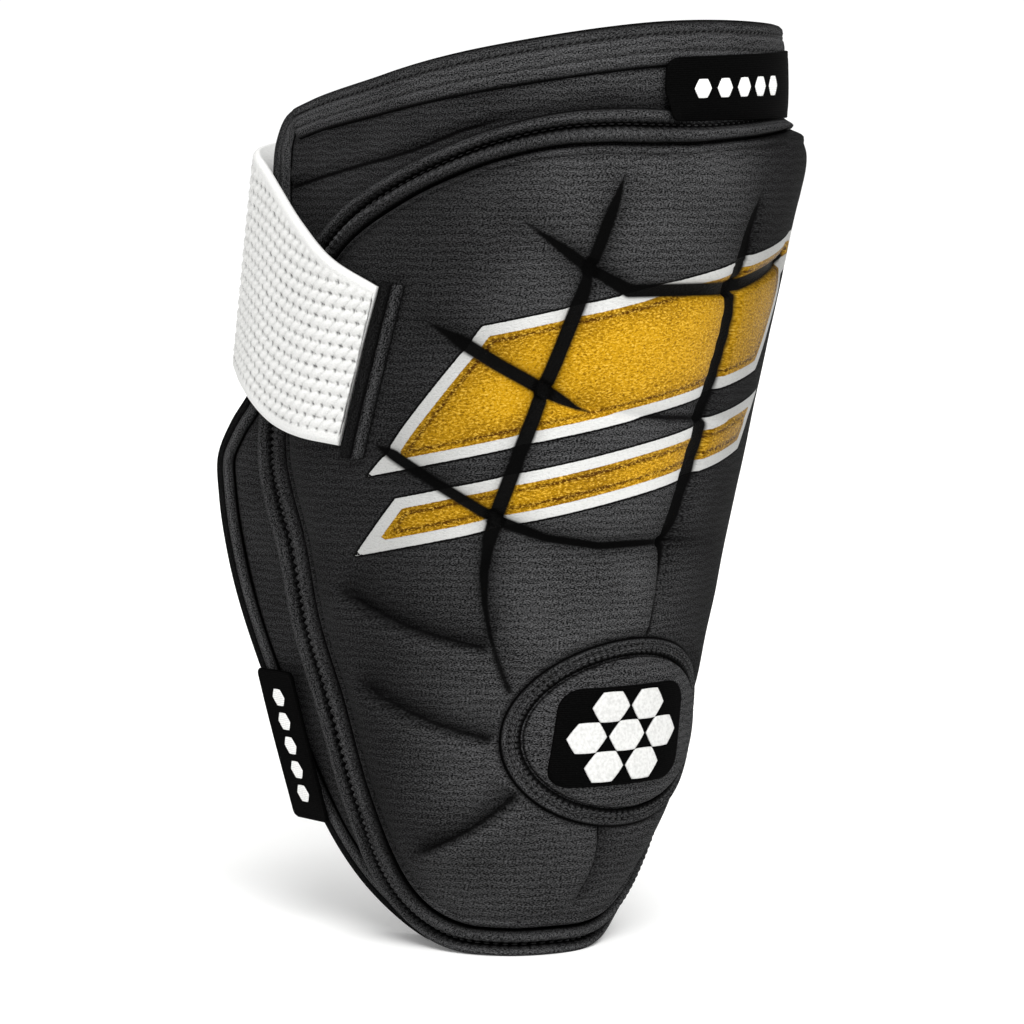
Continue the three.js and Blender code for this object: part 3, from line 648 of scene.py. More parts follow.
# Border: the profile is carried round the outline. Its valley dips at each needle hole, and its inner ridge
# swells between them.
def addBorder():
    profile = border["profile"]
    insets = borderWidth[:, None] * profile[:, 0]
    nearValley = bell(profile[:, 0], *border["valley"])
    beat = stitchBeat(borderLength, border["stitchPitch"])
    outs = profile[:, 1] - border["notch"] * nearValley * beat ** 3
    least, more = border["gather"]
    gathered = least + more * smoothStep(-borderPath[:, 0], *border["gatherFrom"])[:, None]
    outs = outs + gathered * bell(profile[:, 0], *border["swell"]) * (0.5 - beat)
    places = placesAcross(borderPath, borderIn, insets)
    outs = outs + (np.minimum(outs, border["pressed"]) - outs) * inZone("label", places)
    outs = outs + shellLift(borderPath[:, 1])[:, None]
    # Painted shade: darker at each needle hole, and towards the sides
    sideShadeShare = border["sideShadeShare"] * sideShade(borderPath)[:, None]
    black = np.clip(profile[:, 2] + nearValley * beat ** 2 + sideShadeShare, 0, 1)
    piece = addBand("shell_border_roll", (borderPath, borderIn, borderLength), insets, outs, black,
                    ["shell_border"], closed=True)


cap = {
    "across": 12.5, "height": 55.2, "halfWidth": 25, "halfHeight": 18.4, "foot": 8.2, "rise": 4.0,
    "around": 220, "rings": 44, "underStep": 14, "underGap": 0.1, "edgeShade": 0.9, "leastDark": 0.14,
}
capRing = {
    "width": 4.6, "gap": 0.3, "around": 640, "pitch": 1.7, "face": 8.1,
    "dentWidth": 0.36, "dent": 0.45, "dentShade": 1.1,
    "rows": (2.05, 3.35),  # inset of each stitch row from the ring's outer edge
    # inset, out, black
    # black is painted shade in the sunken ring and at its edges
    "profile": np.array([
        [4.5, 8.05, 1], [0.1, 8.05, 1], [0, 8.2, 1], [0.4, 8.35, 1], [0.7, 8.65, 0.5], [1.0, 8.8, 0.2],
        [1.3, 8.85, 0.2], [1.65, 8.75, 0.25], [2.05, 8.55, 0.35], [2.4, 8.8, 0.2], [2.7, 8.95, 0.1],
        [3.0, 8.9, 0.1], [3.35, 8.6, 0.3], [3.6, 8.75, 0.4], [3.9, 8.6, 0.9], [4.5, 8.2, 1], [4.5, 8.05, 1],
    ]),
}

shell = {
    # distance in from the shell's edge, out: a piped edge, a crease, then the padded body
    "edge": [[0, 2.6], [0.4, 3.6], [0.9, 4.4], [1.5, 4.6], [2.05, 4.2], [2.6, 4.5], [3.6, 5.4], [5.5, 6.6],
             [8.5, 7.8], [12, 8.6], [16, 9.0], [22, 9.1]],
    "insets": [0, 0.2, 0.45, 0.7, 0.95, 1.2, 1.5, 1.8, 2.05, 2.3, 2.6, 3.0, 3.6, 4.3, 5.1, 6, 7, 8, 9.2, 10.6,
               12, 14],
    "around": 760, "rings": 92, "spine": (45, 165), "gap": 0.3, "ringBed": 7.8,
    "underRows": [-1, -30, -60, 0], "underOut": 0.85,  # rings of the face that the flat underside repeats
    "ripple": (5.2, 1.7, 13, 7.1), "rippleDepth": 0.16,
    "liftEnd": 9, "body": (3, 10), "fuller": (2.2, 14),  # distances in from the edge; fuller: height, reach
    # painted shade round the cap's ring, along the piped edge and in the crease beside it
    "ringShade": 0.75, "edgeShade": 0.6, "creaseShade": 0.5,
}
# Sewn channels run straight between their corners and are black where they cross the print; off the print a
# narrower black line along each is painted shade.
# Each has its half width, the two shares of its length between which it is full, and its corners.
channels = {
    "leftUpright": (1.8, (0.13, 0.66), [
        [-7.5, 198], [-8.8, 184], [-10.5, 170], [-16.5, 139], [-21.8, 112], [-23, 104], [-23.3, 96],
        [-22.4, 88], [-20.5, 80], [-17.5, 71], [-15, 65]]),
    "rightUpright": (2.6, (0.2, 0.76), [
        [30.5, 194], [30, 178], [30, 165], [28.5, 150], [25.8, 131], [22.3, 107.5], [17.5, 81]]),
    "upperCross": (1.6, (0.24, 0.98), [
        [-33, 185], [-12.5, 171], [-1, 164.5], [30, 164.5], [52, 170], [58, 171.8]]),
    "middleCross": (1.55, (0.3, 0.72), [[-48, 160], [-27, 147], [-8.5, 136.5], [-3, 134.5]]),
    "lowerCross": (1.3, (0.06, 0.62), [[-52, 128], [-22, 109], [-11, 104.5], [2, 102], [22, 102], [46, 100]]),
}
channelShape = {
    "depth": 2.2, "dip": 0.8, "dipParts": ((0.55, 6.5), (0.45, 3.2)),  # the soft dip is two bells
    "bottom": 0.65, "wall": (-0.3, 0.9),  # the flat bottom, and its wall about the half width
    "shade": 0.4, "shadeWidth": 4, "inkEnd": 1.6, "offPrint": 0.35,  # painted shade beside it, less ink off the print
}
# Folds: the cloth slopes down to the path from its left and rises steeply on its right, over a soft bulge.
# Each has its depth, the two shares of its length between which it is full, and its corners.
folds = {
    "waist": (1.4, (0.02, 0.6), [[-10, 137.5], [8, 134], [30, 132.5], [52, 131]]),
    "leftUpper": (4.0, (0.14, 0.95), [[-58, 91.5], [-38, 82], [-20, 76.7]]),
    "leftLower": (4.0, (0.16, 0.95), [[-52, 68.5], [-34, 59.5], [-18, 54.2]]),
    "toeLeft": (4.2, (0.12, 0.92), [[-41, 21], [-31, 26.8], [-22, 33], [-12, 42.5]]),
    "toeFront": (3.0, (0.1, 0.85), [[5.5, 36], [6, 24], [2.5, 8]]),
    "leftLow": (1.8, (0.2, 0.95), [[-23, 104], [-23.3, 96], [-20.8, 81], [-17.5, 71], [-15, 65]]),
    "rightLow": (1.6, (0.2, 0.9), [[22.3, 108], [19.5, 92], [16.2, 76]]),
}
foldShape = {
    "fall": (4.2, 0.9), "hollow": (5, 1.2),  # reach on the gentle and the steep side: the fall, its painted shade
    # shade: how dark the painted shade in each fold's hollow is; lineReach: how far the painted dark line
    # along a fold reaches
    "bulge": 0.3, "bulgePlace": (-4, 3.6), "shade": 0.17, "lineReach": 5,
}
# Printed bands: middle, half length and half width, rise of the band and of its ends in degrees
bands = [
    {"across": 7, "height": 150, "halfLength": 50, "halfWidth": 15.5, "rise": 14, "ends": 62},
    {"across": 0.5, "height": 119, "halfLength": 50, "halfWidth": 6.2, "rise": 14, "ends": 62},
]


# Distance outside the printed bands: the larger of the distances past a band's long sides and past its ends
def printField(places):
    nearest = np.full(places.shape[:-1], 1e3)
    for band in bands:
        rise, ends = math.radians(band["rise"]), math.radians(band["ends"])
        away = places - [band["across"], band["height"]]
        pastSide = np.abs(away @ [-math.sin(rise), math.cos(rise)]) - band["halfWidth"]
        halfEnd = band["halfLength"] * math.sin(ends - rise)
        pastEnd = np.abs(away @ [math.sin(ends), -math.cos(ends)]) - halfEnd
        nearest = np.minimum(nearest, np.maximum(pastSide, pastEnd))
    return nearest


# How far a place lies from the cap's middle, as a share of an oval that is larger than the cap by "grow"
def capShare(places, grow):
    halves = [cap["halfWidth"] + grow, cap["halfHeight"] + grow]
    local = (places - [cap["across"], cap["height"]]) / halves
    return np.hypot(local[..., 0], local[..., 1])


# A seam runs out softly before and after the two shares of its length between which it is full
def seamTaper(share, full):
    return smoothStep(share, 0, full[0]) * (1 - smoothStep(share, full[1], 1))


# A fold falls gently on the left of its path and steeply on its right
def foldFall(away, gentle, steep):
    return np.where(away > 0, np.exp(-np.abs(away) / gentle), bell(away, 0, steep))


# Shell: its height above the liner is an edge profile, less a soft dip and a flat channel along each seam
def addShell():
    outline, inward, _ = smoothOutline(border["corners"], shell["around"])
    start = borderWidthAt(outline) + shell["gap"]
    insets = np.array(shell["insets"])
    shares = np.linspace(0, 1, shell["rings"] + 1)[1:]
    edge = padRings(outline, inward, start + insets[:, None], np.zeros(len(insets)), shell["spine"])
    body = padRings(outline, inward, start + insets[-1], shares, shell["spine"])
    flat = np.concatenate([edge, body])
    reach = np.linalg.norm(body - edge[-1], axis=-1) + insets[-1]
    fromEdge = np.concatenate([np.broadcast_to(insets[:, None], edge.shape[:2]), reach])
    lowest, lastInset = shell["edge"][0][1], shell["edge"][-1][0]
    out = readTable(shell["edge"], 1, np.minimum(fromEdge, lastInset))
    out = np.maximum(out, lowest) + shellLift(flat[..., 1]) * (1 - smoothStep(fromEdge, 0, shell["liftEnd"]))
    rounded = 0.7 * bell(fromEdge, 2.2, 0.7) - 1.4 * bell(fromEdge, 0, 1.1)  # crease filled, edge rounded
    fuller, width = shell["fuller"]
    out = out + inZone("shoulder", flat) * (fuller * bell(fromEdge, 0, width) + rounded)
    inBody = smoothStep(fromEdge, *shell["body"])
    black, printed = sideShade(flat), printField(flat)
    channel, foldAway, foldLineShade = (np.full(out.shape, first) for first in (9.0, 9.0, 0.0))
    offPrint = smoothStep(printed, 0.5, 6)
    for halfWidth, full, corners in channels.values():
        away, share = pathField(flat, np.array(corners, float))
        away, taper = np.abs(away), seamTaper(share, full)
        half, soft = halfWidth * taper, np.sqrt(taper)
        dip = sum(part * bell(away, 0, width) for part, width in channelShape["dipParts"])
        foot, brim = channelShape["wall"]
        flatBottom = 1 - smoothStep(away, half + foot, half + brim)
        sunk = channelShape["dip"] * dip * soft + channelShape["bottom"] * flatBottom * taper
        out = out - inBody * channelShape["depth"] * sunk
        # Painted shade beside each channel
        shade = channelShape["shade"] * inBody * soft * bell(away, 0, channelShape["shadeWidth"])
        black = 1 - (1 - black) * (1 - shade)
        ending = channelShape["inkEnd"] * (1 - smoothStep(taper, 0, 0.12))
        channel = np.minimum(channel, away - half + ending + channelShape["offPrint"] * offPrint)
    for depth, full, corners in folds.values():
        away, share = pathField(flat, smoothPath(corners, 36)[0])
        taper = seamTaper(share, full) * inBody
        bulge = foldShape["bulge"] * bell(away, *foldShape["bulgePlace"])
        out = out + depth * taper * (bulge - foldFall(away, *foldShape["fall"]))
        # Painted shade in the hollow above each fold
        shade = foldShape["shade"] * depth * taper * foldFall(away, *foldShape["hollow"])
        black = 1 - (1 - black) * (1 - shade)
        # The nearest fold's line gets a narrow painted shade line in the material
        nearer = np.abs(away) < np.abs(foldAway)
        foldAway = np.where(nearer, away, foldAway)
        foldLineShade = np.where(nearer, taper * (np.abs(away) < foldShape["lineReach"]), foldLineShade)
    out = out + ripples(flat, shell["rippleDepth"] * inBody, *shell["ripple"])
    ringShare = capShare(flat, capRing["width"] + capRing["gap"])
    sunk = 1 - smoothStep(ringShare, 1.0, 1.13)
    out = out + (np.minimum(out, shell["ringBed"]) - out) * sunk
    # Painted shade round the cap's ring
    black = np.maximum(black, shell["ringShade"] * bell(ringShare, 1, 0.035))
    # Painted shade along the shell's edge and in the crease beside it
    crease = shell["creaseShade"] * (1 - inZone("smooth", flat)) * bell(fromEdge, 2.05, 0.3)
    black = np.maximum(black, shell["edgeShade"] * bell(fromEdge, 0, 0.5) + crease)
    under = lambda values: np.concatenate([values[shell["underRows"]], values])
    underOut = shell["underOut"] + shellLift(flat[shell["underRows"], :, 1])
    piece = addPiece(
        "shell_pad", wallPoint(under(flat), np.concatenate([underOut, out])), printedCloth,
        uv=under(flat),
        fields={"print": under(printed), "channel": under(channel), "black": under(black),
                "fold": under(foldAway), "foldLineShade": under(foldLineShade)}, replaces=["shell"])


# Crown of the cap: foot plus rise times the root of one less the fourth power of the share from its middle
def capOut(places):
    share = np.minimum(capShare(places, 0), 1)
    return cap["foot"] + cap["rise"] * np.sqrt(1 - share ** 4)


# Oval round the cap, larger than it by "grow": path, inward direction and length so far
def ovalPath(grow, count):
    turn = np.linspace(0, 2 * np.pi, count + 1) - np.pi / 2
    path = np.stack([cap["across"] + (cap["halfWidth"] + grow) * np.cos(turn),
                     cap["height"] + (cap["halfHeight"] + grow) * np.sin(turn)], -1)
    return path, inwardOf(path, closed=True), lengthAlong(path)


# Cap: rings that close to its middle, on a flat underside
def addCap():
    path, _, _ = ovalPath(0, cap["around"])
    middle = np.array([cap["across"], cap["height"]])
    shares = np.sin(np.linspace(0, np.pi / 2, cap["rings"]))[::-1, None]
    face = middle + (path - middle) * shares[..., None]
    under = face[::-1][::cap["underStep"]]
    places = np.concatenate([under, face])
    outs = np.concatenate([np.full(under.shape[:2], cap["foot"] - cap["underGap"]), capOut(face)])
    # Painted shade darkens the cap's edge where it meets the ring, and the whole face is a little darker
    edgeShade = np.maximum(cap["edgeShade"] * bell((1 - shares) * 20, 0, 0.25), cap["leastDark"])
    black = np.concatenate([np.zeros(under.shape[:2]), np.broadcast_to(edgeShade, face.shape[:2])])
    piece = addPiece("elbow_cap_pad", wallPoint(places, outs), jerseyCloth, uv=places,
                     fields={"black": black}, replaces=["elbow_cap"])


# Cap ring: the profile carried round the oval, dented at each needle hole of its two rows
def addCapRing():
    line = ovalPath(capRing["width"] + capRing["gap"], capRing["around"])
    profile = capRing["profile"]
    beat = stitchBeat(line[2], capRing["pitch"]) ** 2
    nearRow = sum(bell(profile[:, 0], row, capRing["dentWidth"]) for row in capRing["rows"])
    outs = profile[:, 1] - capRing["dent"] * nearRow * (profile[:, 1] > capRing["face"]) * beat
    # Painted shade in each needle hole
    black = np.clip(profile[:, 2] + capRing["dentShade"] * nearRow * beat, 0, 1)
    piece = addBand("cap_ring_seam", line, profile[:, 0], outs, black, ["cap_ring"], closed=True)


addLiner()
addBinding()
addHem()
addBorder()
addShell()
addCap()
addCapRing()
print("pads made")


patches = {
    "emblem": {"across": 8.5, "height": 55.2, "width": 31, "depth": 24, "corner": 5, "lean": 0.1,
               "thick": 0.8, "base": 0.1},
    "label": {"across": 33, "height": 211.8, "width": 66, "depth": 15, "corner": 3.5, "lean": 0,
              "thick": 0.7, "base": 1.5, "onBorder": 3.7, "low": (207, 212), "left": (-2, 7)},
    "tag": {"across": -79.5, "height": 48, "width": 14, "depth": 38, "corner": 1.5, "lean": -0.29,
            "thick": 1.2, "base": 2.4},
}


# Rounded rectangle that leans across by a share of its height
def patchPath(patch, count=160):
    w, d, r = patch["width"] / 2, patch["depth"] / 2, patch["corner"]
    turn = np.linspace(0, np.pi / 2, 9)
    arc = np.stack([np.sin(turn), -np.cos(turn)], -1) * r
    corners = np.concatenate([
        [[0, -d]], arc + [w - r, r - d], arc[::-1] * [1, -1] + [w - r, d - r],
        arc * [-1, -1] + [r - w, d - r], arc[::-1] * [-1, 1] + [r - w, r - d], [[0, -d]]])
    length = lengthAlong(corners)
    return patchPlace(patch, pointsAt(corners, length, np.linspace(0, length[-1], count + 1)))


def patchPlace(patch, local):
    return np.stack([patch["across"] + local[..., 0] + patch["lean"] * local[..., 1],
                     patch["height"] + local[..., 1]], -1)


# Patch: rings from its underside, round a soft edge, to the middle of its face, which follows base(places).
# Each row of the profile is a share of the way out from the middle, and a share of the thickness.
def addPatch(name, patch, base, material, replaces):
    path = patchPath(patch)
    middle = np.array([patch["across"], patch["height"]])
    rows = np.array([
        [0, 0], [0.5, 0], [0.97, 0], [1, 0.15], [1, 0.7], [0.985, 0.95], [0.96, 1], [0.93, 0.93], [0.9, 0.96],
        [0.75, 1], [0.6, 1], [0.45, 1], [0.3, 1], [0.15, 1], [0, 1],
    ])
    flat = middle + (path - middle) * rows[:, 0, None, None]
    points = wallPoint(flat, base(flat) + rows[:, 1, None] * patch["thick"])
    addPiece(name, points, material, uv=flat, replaces=replaces)


# The label lies on the cuff, and its low left corner on the border
def labelBase(places):
    label = patches["label"]
    low, left = smoothStep(places[..., 1], *label["low"]), smoothStep(places[..., 0], *label["left"])
    return label["base"] + label["onBorder"] * ((1 - low) * (1 - left))


def emblemBase(places):
    return capOut(places) + patches["emblem"]["base"]


def tagBase(places):
    return np.full(places.shape[:-1], patches["tag"]["base"])


addPatch("elbow_emblem_patch", patches["emblem"], emblemBase, satinCloth, ["cap_emblem"])
addPatch("cuff_label", patches["label"], labelBase, satinCloth, ["top_label"])
addPatch("edge_tag", patches["tag"], tagBase, satinCloth, ["side_tag"])

cells = {"points": 24, "round": 0.16, "gap": 0.02}
cellRows = {
    "emblem": {"radius": 4.2, "thick": 0.5, "places": [
        [0, 0], [8.9, 0], [-8.9, 0], [4.45, 7.2], [-4.45, 7.2], [4.45, -7.2], [-4.45, -7.2]]},
    "label": {"radius": 2.5, "thick": 0.2, "places": [[-23, 0], [-16.2, 0], [-9.4, 0], [-2.6, 0], [4.2, 0]]},
    "tag": {"radius": 2.4, "thick": 0.2, "places": [[0, -12], [0, -6], [0, 0], [0, 6], [0, 12]]},
}


# Hexagon cells: a ring whose radius swells towards six corners, raised from the patch's face with a soft edge
def addCells(name, patch, row, base, material):
    turn = np.linspace(0, 2 * np.pi, cells["points"] + 1)
    reach = np.cos(np.pi / 6) / np.cos((turn + np.pi / 6) % (np.pi / 3) - np.pi / 6)
    reach = reach * (1 - cells["round"]) + cells["round"] * np.cos(np.pi / 12)
    ring = np.stack([np.sin(turn), np.cos(turn)], -1) * reach[:, None] * row["radius"]
    rows = np.array([[0, 0.0], [1, 0.0], [1, 0.6], [0.94, 0.95], [0.85, 1], [0, 1]])
    local = np.asarray(row["places"], float)[:, None, None] + ring * rows[:, 0, None, None]
    flat = patchPlace(patch, local)
    out = base(flat) + patch["thick"] + cells["gap"] + rows[:, 1, None] * row["thick"]
    addPiece(name, wallPoint(flat, out), material, uv=flat)


addCells("emblem_cells", patches["emblem"], cellRows["emblem"], emblemBase, siliconeRubber)
addCells("label_cells", patches["label"], cellRows["label"], labelBase, satinPattern)
addCells("tag_cells", patches["tag"], cellRows["tag"], tagBase, satinPattern)
print("patches made")


strap = {
    # low across, high across, out, low and high edge, on the guard from the seam to the liner's edge
    "onGuard": np.array([[58, 55, 10, 127, 165.5], [69, 68, 10, 128.5, 172], [80, 82, 9, 131, 180.5],
                         [90, 95, 7, 134.5, 188], [98, 106, 4.6, 138, 194.5]]),
    "onRight": np.array([[90, 95, 6, 134.5, 188], [98, 106, 4.6, 138, 194.5]]),  # the same on the right
    # low x, high x, low y, high y from the middle of the level section, low and high edge, behind the arm
    "behind": np.array([[63.5, 66.8, 17, 24, 141, 197], [59.5, 60.5, 29.5, 36, 144.5, 199],
                        [47.5, 47, 43, 48, 148, 200.5], [25.5, 24.5, 51.5, 55.5, 150, 201.5]]),
    "middle": (54, 58, 150.5, 202),  # low y, high y, low and high edge
    "thickness": 2.2, "along": 880, "wide": 92, "innerWide": 9,
    "loopLength": 3.1, "loopHeight": 3.2, "loopLean": 0.7, "relief": 1.0, "plainEdge": (2.4, 3.5),
    "edgeRoll": 0.9, "innerRoll": 0.25, "pinhole": (1.25, 1.9),  # a hole's depth, and how fast it fades
    "plain": (0.75, 0.12, 1.2),  # the plain edge's height, and its ribs' depth and pitch
}


# One edge of the strap, low (0) or high (1), from the left seam round the back to the right seam
def strapEdge(level):
    behind, middle = strap["behind"], strap["middle"]
    centre = lambda z: (readTable(wallShape["sections"], 1, z), readTable(wallShape["sections"], 2, z))

    def onGuard(rows, side):
        places = np.stack([side * rows[:, level], rows[:, 3 + level]], -1)
        return wallPoint(places, rows[:, 2]) / mm

    def back(side):
        z = behind[:, 4 + level]
        x, y = centre(z)
        return np.stack([x + side * behind[:, level], y + behind[:, 2 + level], z], -1)

    x, y = centre(middle[2 + level])
    corners = np.concatenate([
        onGuard(strap["onGuard"], -1), back(-1), [[x, y + middle[level], middle[2 + level]]], back(1)[::-1],
        onGuard(strap["onRight"], 1)[::-1]])
    return smoothPath(corners, strap["along"])


# Strap: ruled between its two edges. Its face is raised in staggered rounded loops, each a product of two
# rounded waves, one along the strap and one across it, shifted by half a loop in every other row.
def addStrap():
    low, lowLength = strapEdge(0)
    high, highLength = strapEdge(1)
    share = np.linspace(0, 1, strap["wide"])
    face = low[:, None] + (high - low)[:, None] * share[:, None]
    width = np.linalg.norm(high - low, axis=1)[:, None]
    along = (lowLength + highLength)[:, None] / 2 + 0 * share
    up = width * share
    tangent = np.gradient(low + high, axis=0)
    outward = np.stack([-tangent[:, 1], tangent[:, 0], 0 * tangent[:, 0]], -1)
    outward /= np.linalg.norm(outward, axis=1, keepdims=True)
    fromEdge = np.minimum(up, width - up)
    inField = smoothStep(fromEdge, *strap["plainEdge"])
    row = np.floor(up / strap["loopHeight"])
    across = np.abs(np.sin(np.pi * up / strap["loopHeight"]))
    lean = strap["loopLean"] * (up / strap["loopHeight"] - row)
    wave = np.abs(np.sin(np.pi * (along / strap["loopLength"] + 0.5 * (row % 2) + lean)))
    loop = across ** 0.5 * wave ** 0.5
    level, ribDepth, ribPitch = strap["plain"]
    plain = level + ribDepth * np.sin(2 * np.pi * fromEdge / ribPitch)
    relief = strap["relief"] * (loop * inField + plain * (1 - inField))
    rolled = smoothStep(fromEdge, -0.01, strap["edgeRoll"])
    relief = relief * rolled
    deepest, fade = strap["pinhole"]
    # Painted shade: each pinhole is darker by how deep it lies
    hole = np.clip(deepest - fade * np.hypot(across, wave), 0, 1) * inField
    outer = face + outward[:, None] * (strap["thickness"] - strap["relief"] + relief)[..., None]
    inner = face + outward[:, None] * (strap["innerRoll"] * (1 - rolled))[..., None]
    few = np.linspace(0, strap["wide"] - 1, strap["innerWide"]).astype(int)
    wrap = lambda inside, outside: withEnds(
        np.concatenate([inside[:, few], outside[:, ::-1], inside[:, :1]], axis=1))
    cloth = np.stack([along, up], -1)
    piece = addPiece("elastic_strap", wrap(inner, outer) * mm, elasticCloth, uv=wrap(cloth, cloth),
                     fields={"hole": wrap(0 * hole, hole)}, replaces=["strap"])


tab = {
    "left": {"low": [-54.8, 124], "high": [-51.9, 166.2], "base": 9.85},
    "right": {"low": [86.6, 131.5], "high": [91.6, 190.5], "base": 5.05},
    # inset towards the strap, rise, black: a folded strip with a rolled inner edge
    "profile": np.array([
        [-2.7, 0, 1], [2.7, 0, 1], [2.75, 0.95, 1], [2.4, 1.65, 0.88], [1.4, 2.05, 0.85], [0.3, 1.85, 0.9],
        [-0.2, 1.35, 1], [-0.6, 1.45, 0.5], [-1.3, 1.35, 0.3], [-2.1, 0.95, 0.4], [-2.7, 0.45, 0.9],
        [-2.7, 0, 1],
    ]),
    "steps": 90,
}


# Tab: the profile carried up a straight line and turned to face the strap
def addTab(name, line, node):
    path, length = smoothPath([line["low"], line["high"]], tab["steps"])
    profile = tab["profile"]
    piece = addBand(name, (path, inwardOf(path), length), -np.sign(line["low"][0]) * profile[:, 0],
                    line["base"] + profile[:, 1], profile[:, 2], [node])


addStrap()
addTab("strap_tab_cloth_left", tab["left"], "strap_tab_left")
addTab("strap_tab_cloth_right", tab["right"], "strap_tab_right")
print("strap made")

stitch = {
    "radius": 0.2, "around": 6, "steps": 5, "bow": 0.25, "thinEnds": 0.96,
    "borderLength": 1.35, "hemLength": 1.5, "capLength": 1.15,
    "valley": 0.45, "borderOut": 2.0, "pressedBy": 1.3, "capOut": 8.65, "hemEnd": 4,
    # inset, out, pitch, and slant in degrees
    "hemRows": {"hem_stitches_upper": (2.8, 0.6, 1.9, 32), "hem_stitches_lower": (7.0, 1.0, 2.1, 24)},
}


# Stitches: each is a short rounded thread on the cloth, thin at both ends, where it goes into its needle hole
def addStitches(name, places, directions, outs, length, slant=0.0):
    turn = math.radians(slant)
    spin = np.array([[math.cos(turn), -math.sin(turn)], [math.sin(turn), math.cos(turn)]])
    along = directions @ spin.T
    side = np.stack([-along[:, 1], along[:, 0]], -1)
    t = np.linspace(-1, 1, stitch["steps"])[:, None]
    angle = np.linspace(0, 2 * np.pi, stitch["around"] + 1)
    thick = stitch["radius"] * np.sqrt(1 - stitch["thinEnds"] * t ** 2)
    flat = (places[:, None, None] + along[:, None, None] * (t * length / 2)[..., None]
            + side[:, None, None] * (thick * np.cos(angle))[..., None])
    rise = stitch["bow"] * (1 - t ** 2) + thick * np.sin(angle)
    points = wallPoint(flat, np.reshape(outs, (-1, 1, 1)) + rise)
    middles = np.broadcast_to(points.mean(axis=2, keepdims=True), points.shape)
    capped = np.concatenate([middles[:, :1], points, middles[:, -1:]], axis=1)
    addPiece(name, capped, threadCord)


# Places at an even pitch along a path, with the path's direction at each
def alongPath(path, length, pitch, near=0.3):
    count = int(length[-1] / pitch)
    at = (np.arange(count) + 0.5) * length[-1] / count
    ahead = pointsAt(path, length, at + near) - pointsAt(path, length, at - near)
    return pointsAt(path, length, at), ahead / np.linalg.norm(ahead, axis=1, keepdims=True)


def addAllStitches():
    valley = borderPath + borderIn * (borderWidth * stitch["valley"])[:, None]
    place, ahead = alongPath(valley, borderLength, border["stitchPitch"])
    outs = stitch["borderOut"] - stitch["pressedBy"] * inZone("label", place) + shellLift(place[:, 1])
    addStitches("border_stitches", place, ahead, outs, stitch["borderLength"])
    order = np.flatnonzero(onHem)[stitch["hemEnd"]:-stitch["hemEnd"]]
    for name, (inset, out, pitch, slant) in stitch["hemRows"].items():
        row = linerPath[order] + linerIn[order] * inset
        place, ahead = alongPath(row, linerLength[order] - linerLength[order[0]], pitch)
        addStitches(name, place, ahead, out, stitch["hemLength"], slant)
    for name, inset in zip(("cap_stitches_outer", "cap_stitches_inner"), capRing["rows"]):
        path, _, length = ovalPath(capRing["width"] + capRing["gap"] - inset, capRing["around"])
        place, ahead = alongPath(path, length, capRing["pitch"])
        addStitches(name, place, ahead, stitch["capOut"], stitch["capLength"])


addAllStitches()
print("stitches made")

studio = {
    "floor": "#f6f6f5", "floorHalf": 6, "bump": 0.00001, "world": 0.32, "backdrop": 1.05,
    "shader": {"Roughness": 0.9, "Emission Color": (1, 1, 1, 1), "Emission Strength": 0.13},
    # azimuth, elevation, strength and width in degrees of each wide, far softbox
    "key": (-14, 42, 3.0, 36), "top": (0, 72, 1.4, 90), "left": (-105, 30, 0.25, 50),
}


# Matt paper: a pale floor that is nearly as bright as the backdrop, so that the shadow alone shows on it
def addFloor():
    material, node = newMaterial("matt_white_paper")
    fibre = node("TexNoise", {"Vector": node("TexCoord", out="Object"), "Scale": 60.0, "Detail": 2.0})
    finishMaterial(node, studio, studio["floor"], fibre)
    mesh = bpy.data.meshes.new("studio_floor")
    far = studio["floorHalf"]
    mesh.from_pydata([(-far, -far, 0), (far, -far, 0), (far, far, 0), (-far, far, 0)], [], [(0, 1, 2, 3)])
    mesh.materials.append(material)
    floor = bpy.data.objects.new("studio_floor", mesh)
    bpy.context.collection.objects.link(floor)


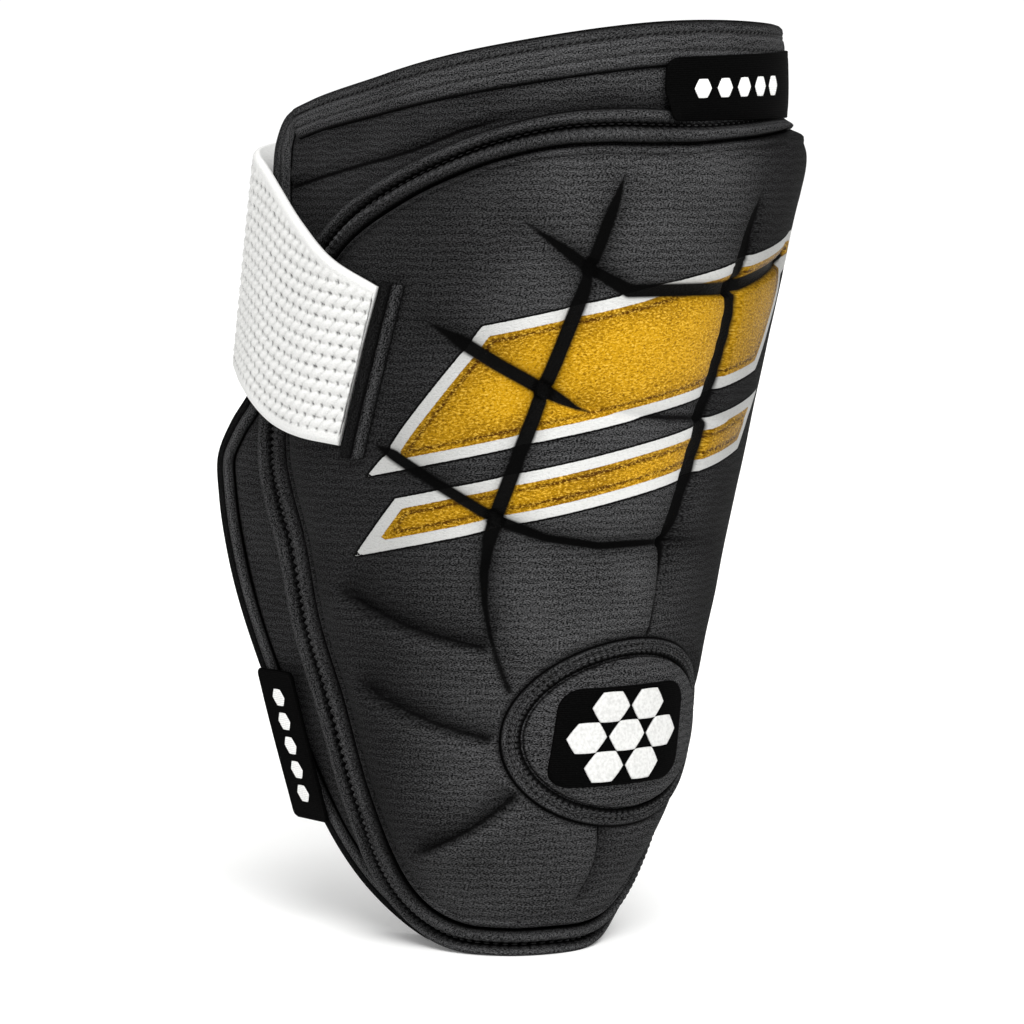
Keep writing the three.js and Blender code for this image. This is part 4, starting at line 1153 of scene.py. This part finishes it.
# Unit vector towards an azimuth and an elevation in degrees, with azimuth 0 in front
def towards(azimuth, elevation):
    a, e = math.radians(azimuth), math.radians(elevation)
    return Vector((math.sin(a) * math.cos(e), -math.cos(a) * math.cos(e), math.sin(e)))


def addLight(name, azimuth, elevation, strength, wide):
    lamp = bpy.data.lights.new(name, "SUN")
    lamp.energy, lamp.angle = strength, math.radians(wide)
    light = bpy.data.objects.new(name, lamp)
    light.location = towards(azimuth, elevation)
    light.rotation_euler = (-light.location).to_track_quat("-Z", "Y").to_euler()
    bpy.context.collection.objects.link(light)


def addStudio():
    addFloor()
    world = bpy.data.worlds.new("studio_white")
    world.use_nodes = True
    tree = world.node_tree
    seen = addNode(tree, "LightPath", out="Is Camera Ray")
    glow = addNode(tree, "MapRange", [seen, 0.0, 1.0, studio["world"], studio["backdrop"]])
    tree.links.new(glow, tree.nodes["Background"].inputs["Strength"])
    tree.nodes["Background"].inputs["Color"].default_value = (1, 1, 1, 1)
    bpy.context.scene.world = world
    for name in ("key", "top", "left"):
        addLight(name + "_softbox", *studio[name])
    bpy.context.scene.view_settings.view_transform = "Standard"


# Angles in degrees, distance in metres, and lens, aim and the aim's small shift in millimetres
camera = {
    "azimuth": -26, "elevation": 5, "distance": 1.0, "lens": 140.625, "sensor": 36,
    "aim": (0, 19, 117.5), "right": 1.75, "up": -9.75, "farthest": 30,
}


def addCamera():
    back = towards(camera["azimuth"], camera["elevation"])
    a = math.radians(camera["azimuth"])
    right = Vector((math.cos(a), math.sin(a), 0))
    up = back.cross(right)
    aim = (Vector(camera["aim"]) + right * camera["right"] + up * camera["up"]) * mm
    lens = bpy.data.cameras.new("photo_camera")
    lens.lens, lens.sensor_width, lens.clip_end = camera["lens"], camera["sensor"], camera["farthest"]
    view = bpy.data.objects.new("photo_camera", lens)
    view.location = aim + back * camera["distance"]
    view.rotation_euler = (-back).to_track_quat("-Z", "Y").to_euler()
    bpy.context.collection.objects.link(view)
    bpy.context.scene.camera = view


addStudio()
addCamera()
print("studio made")
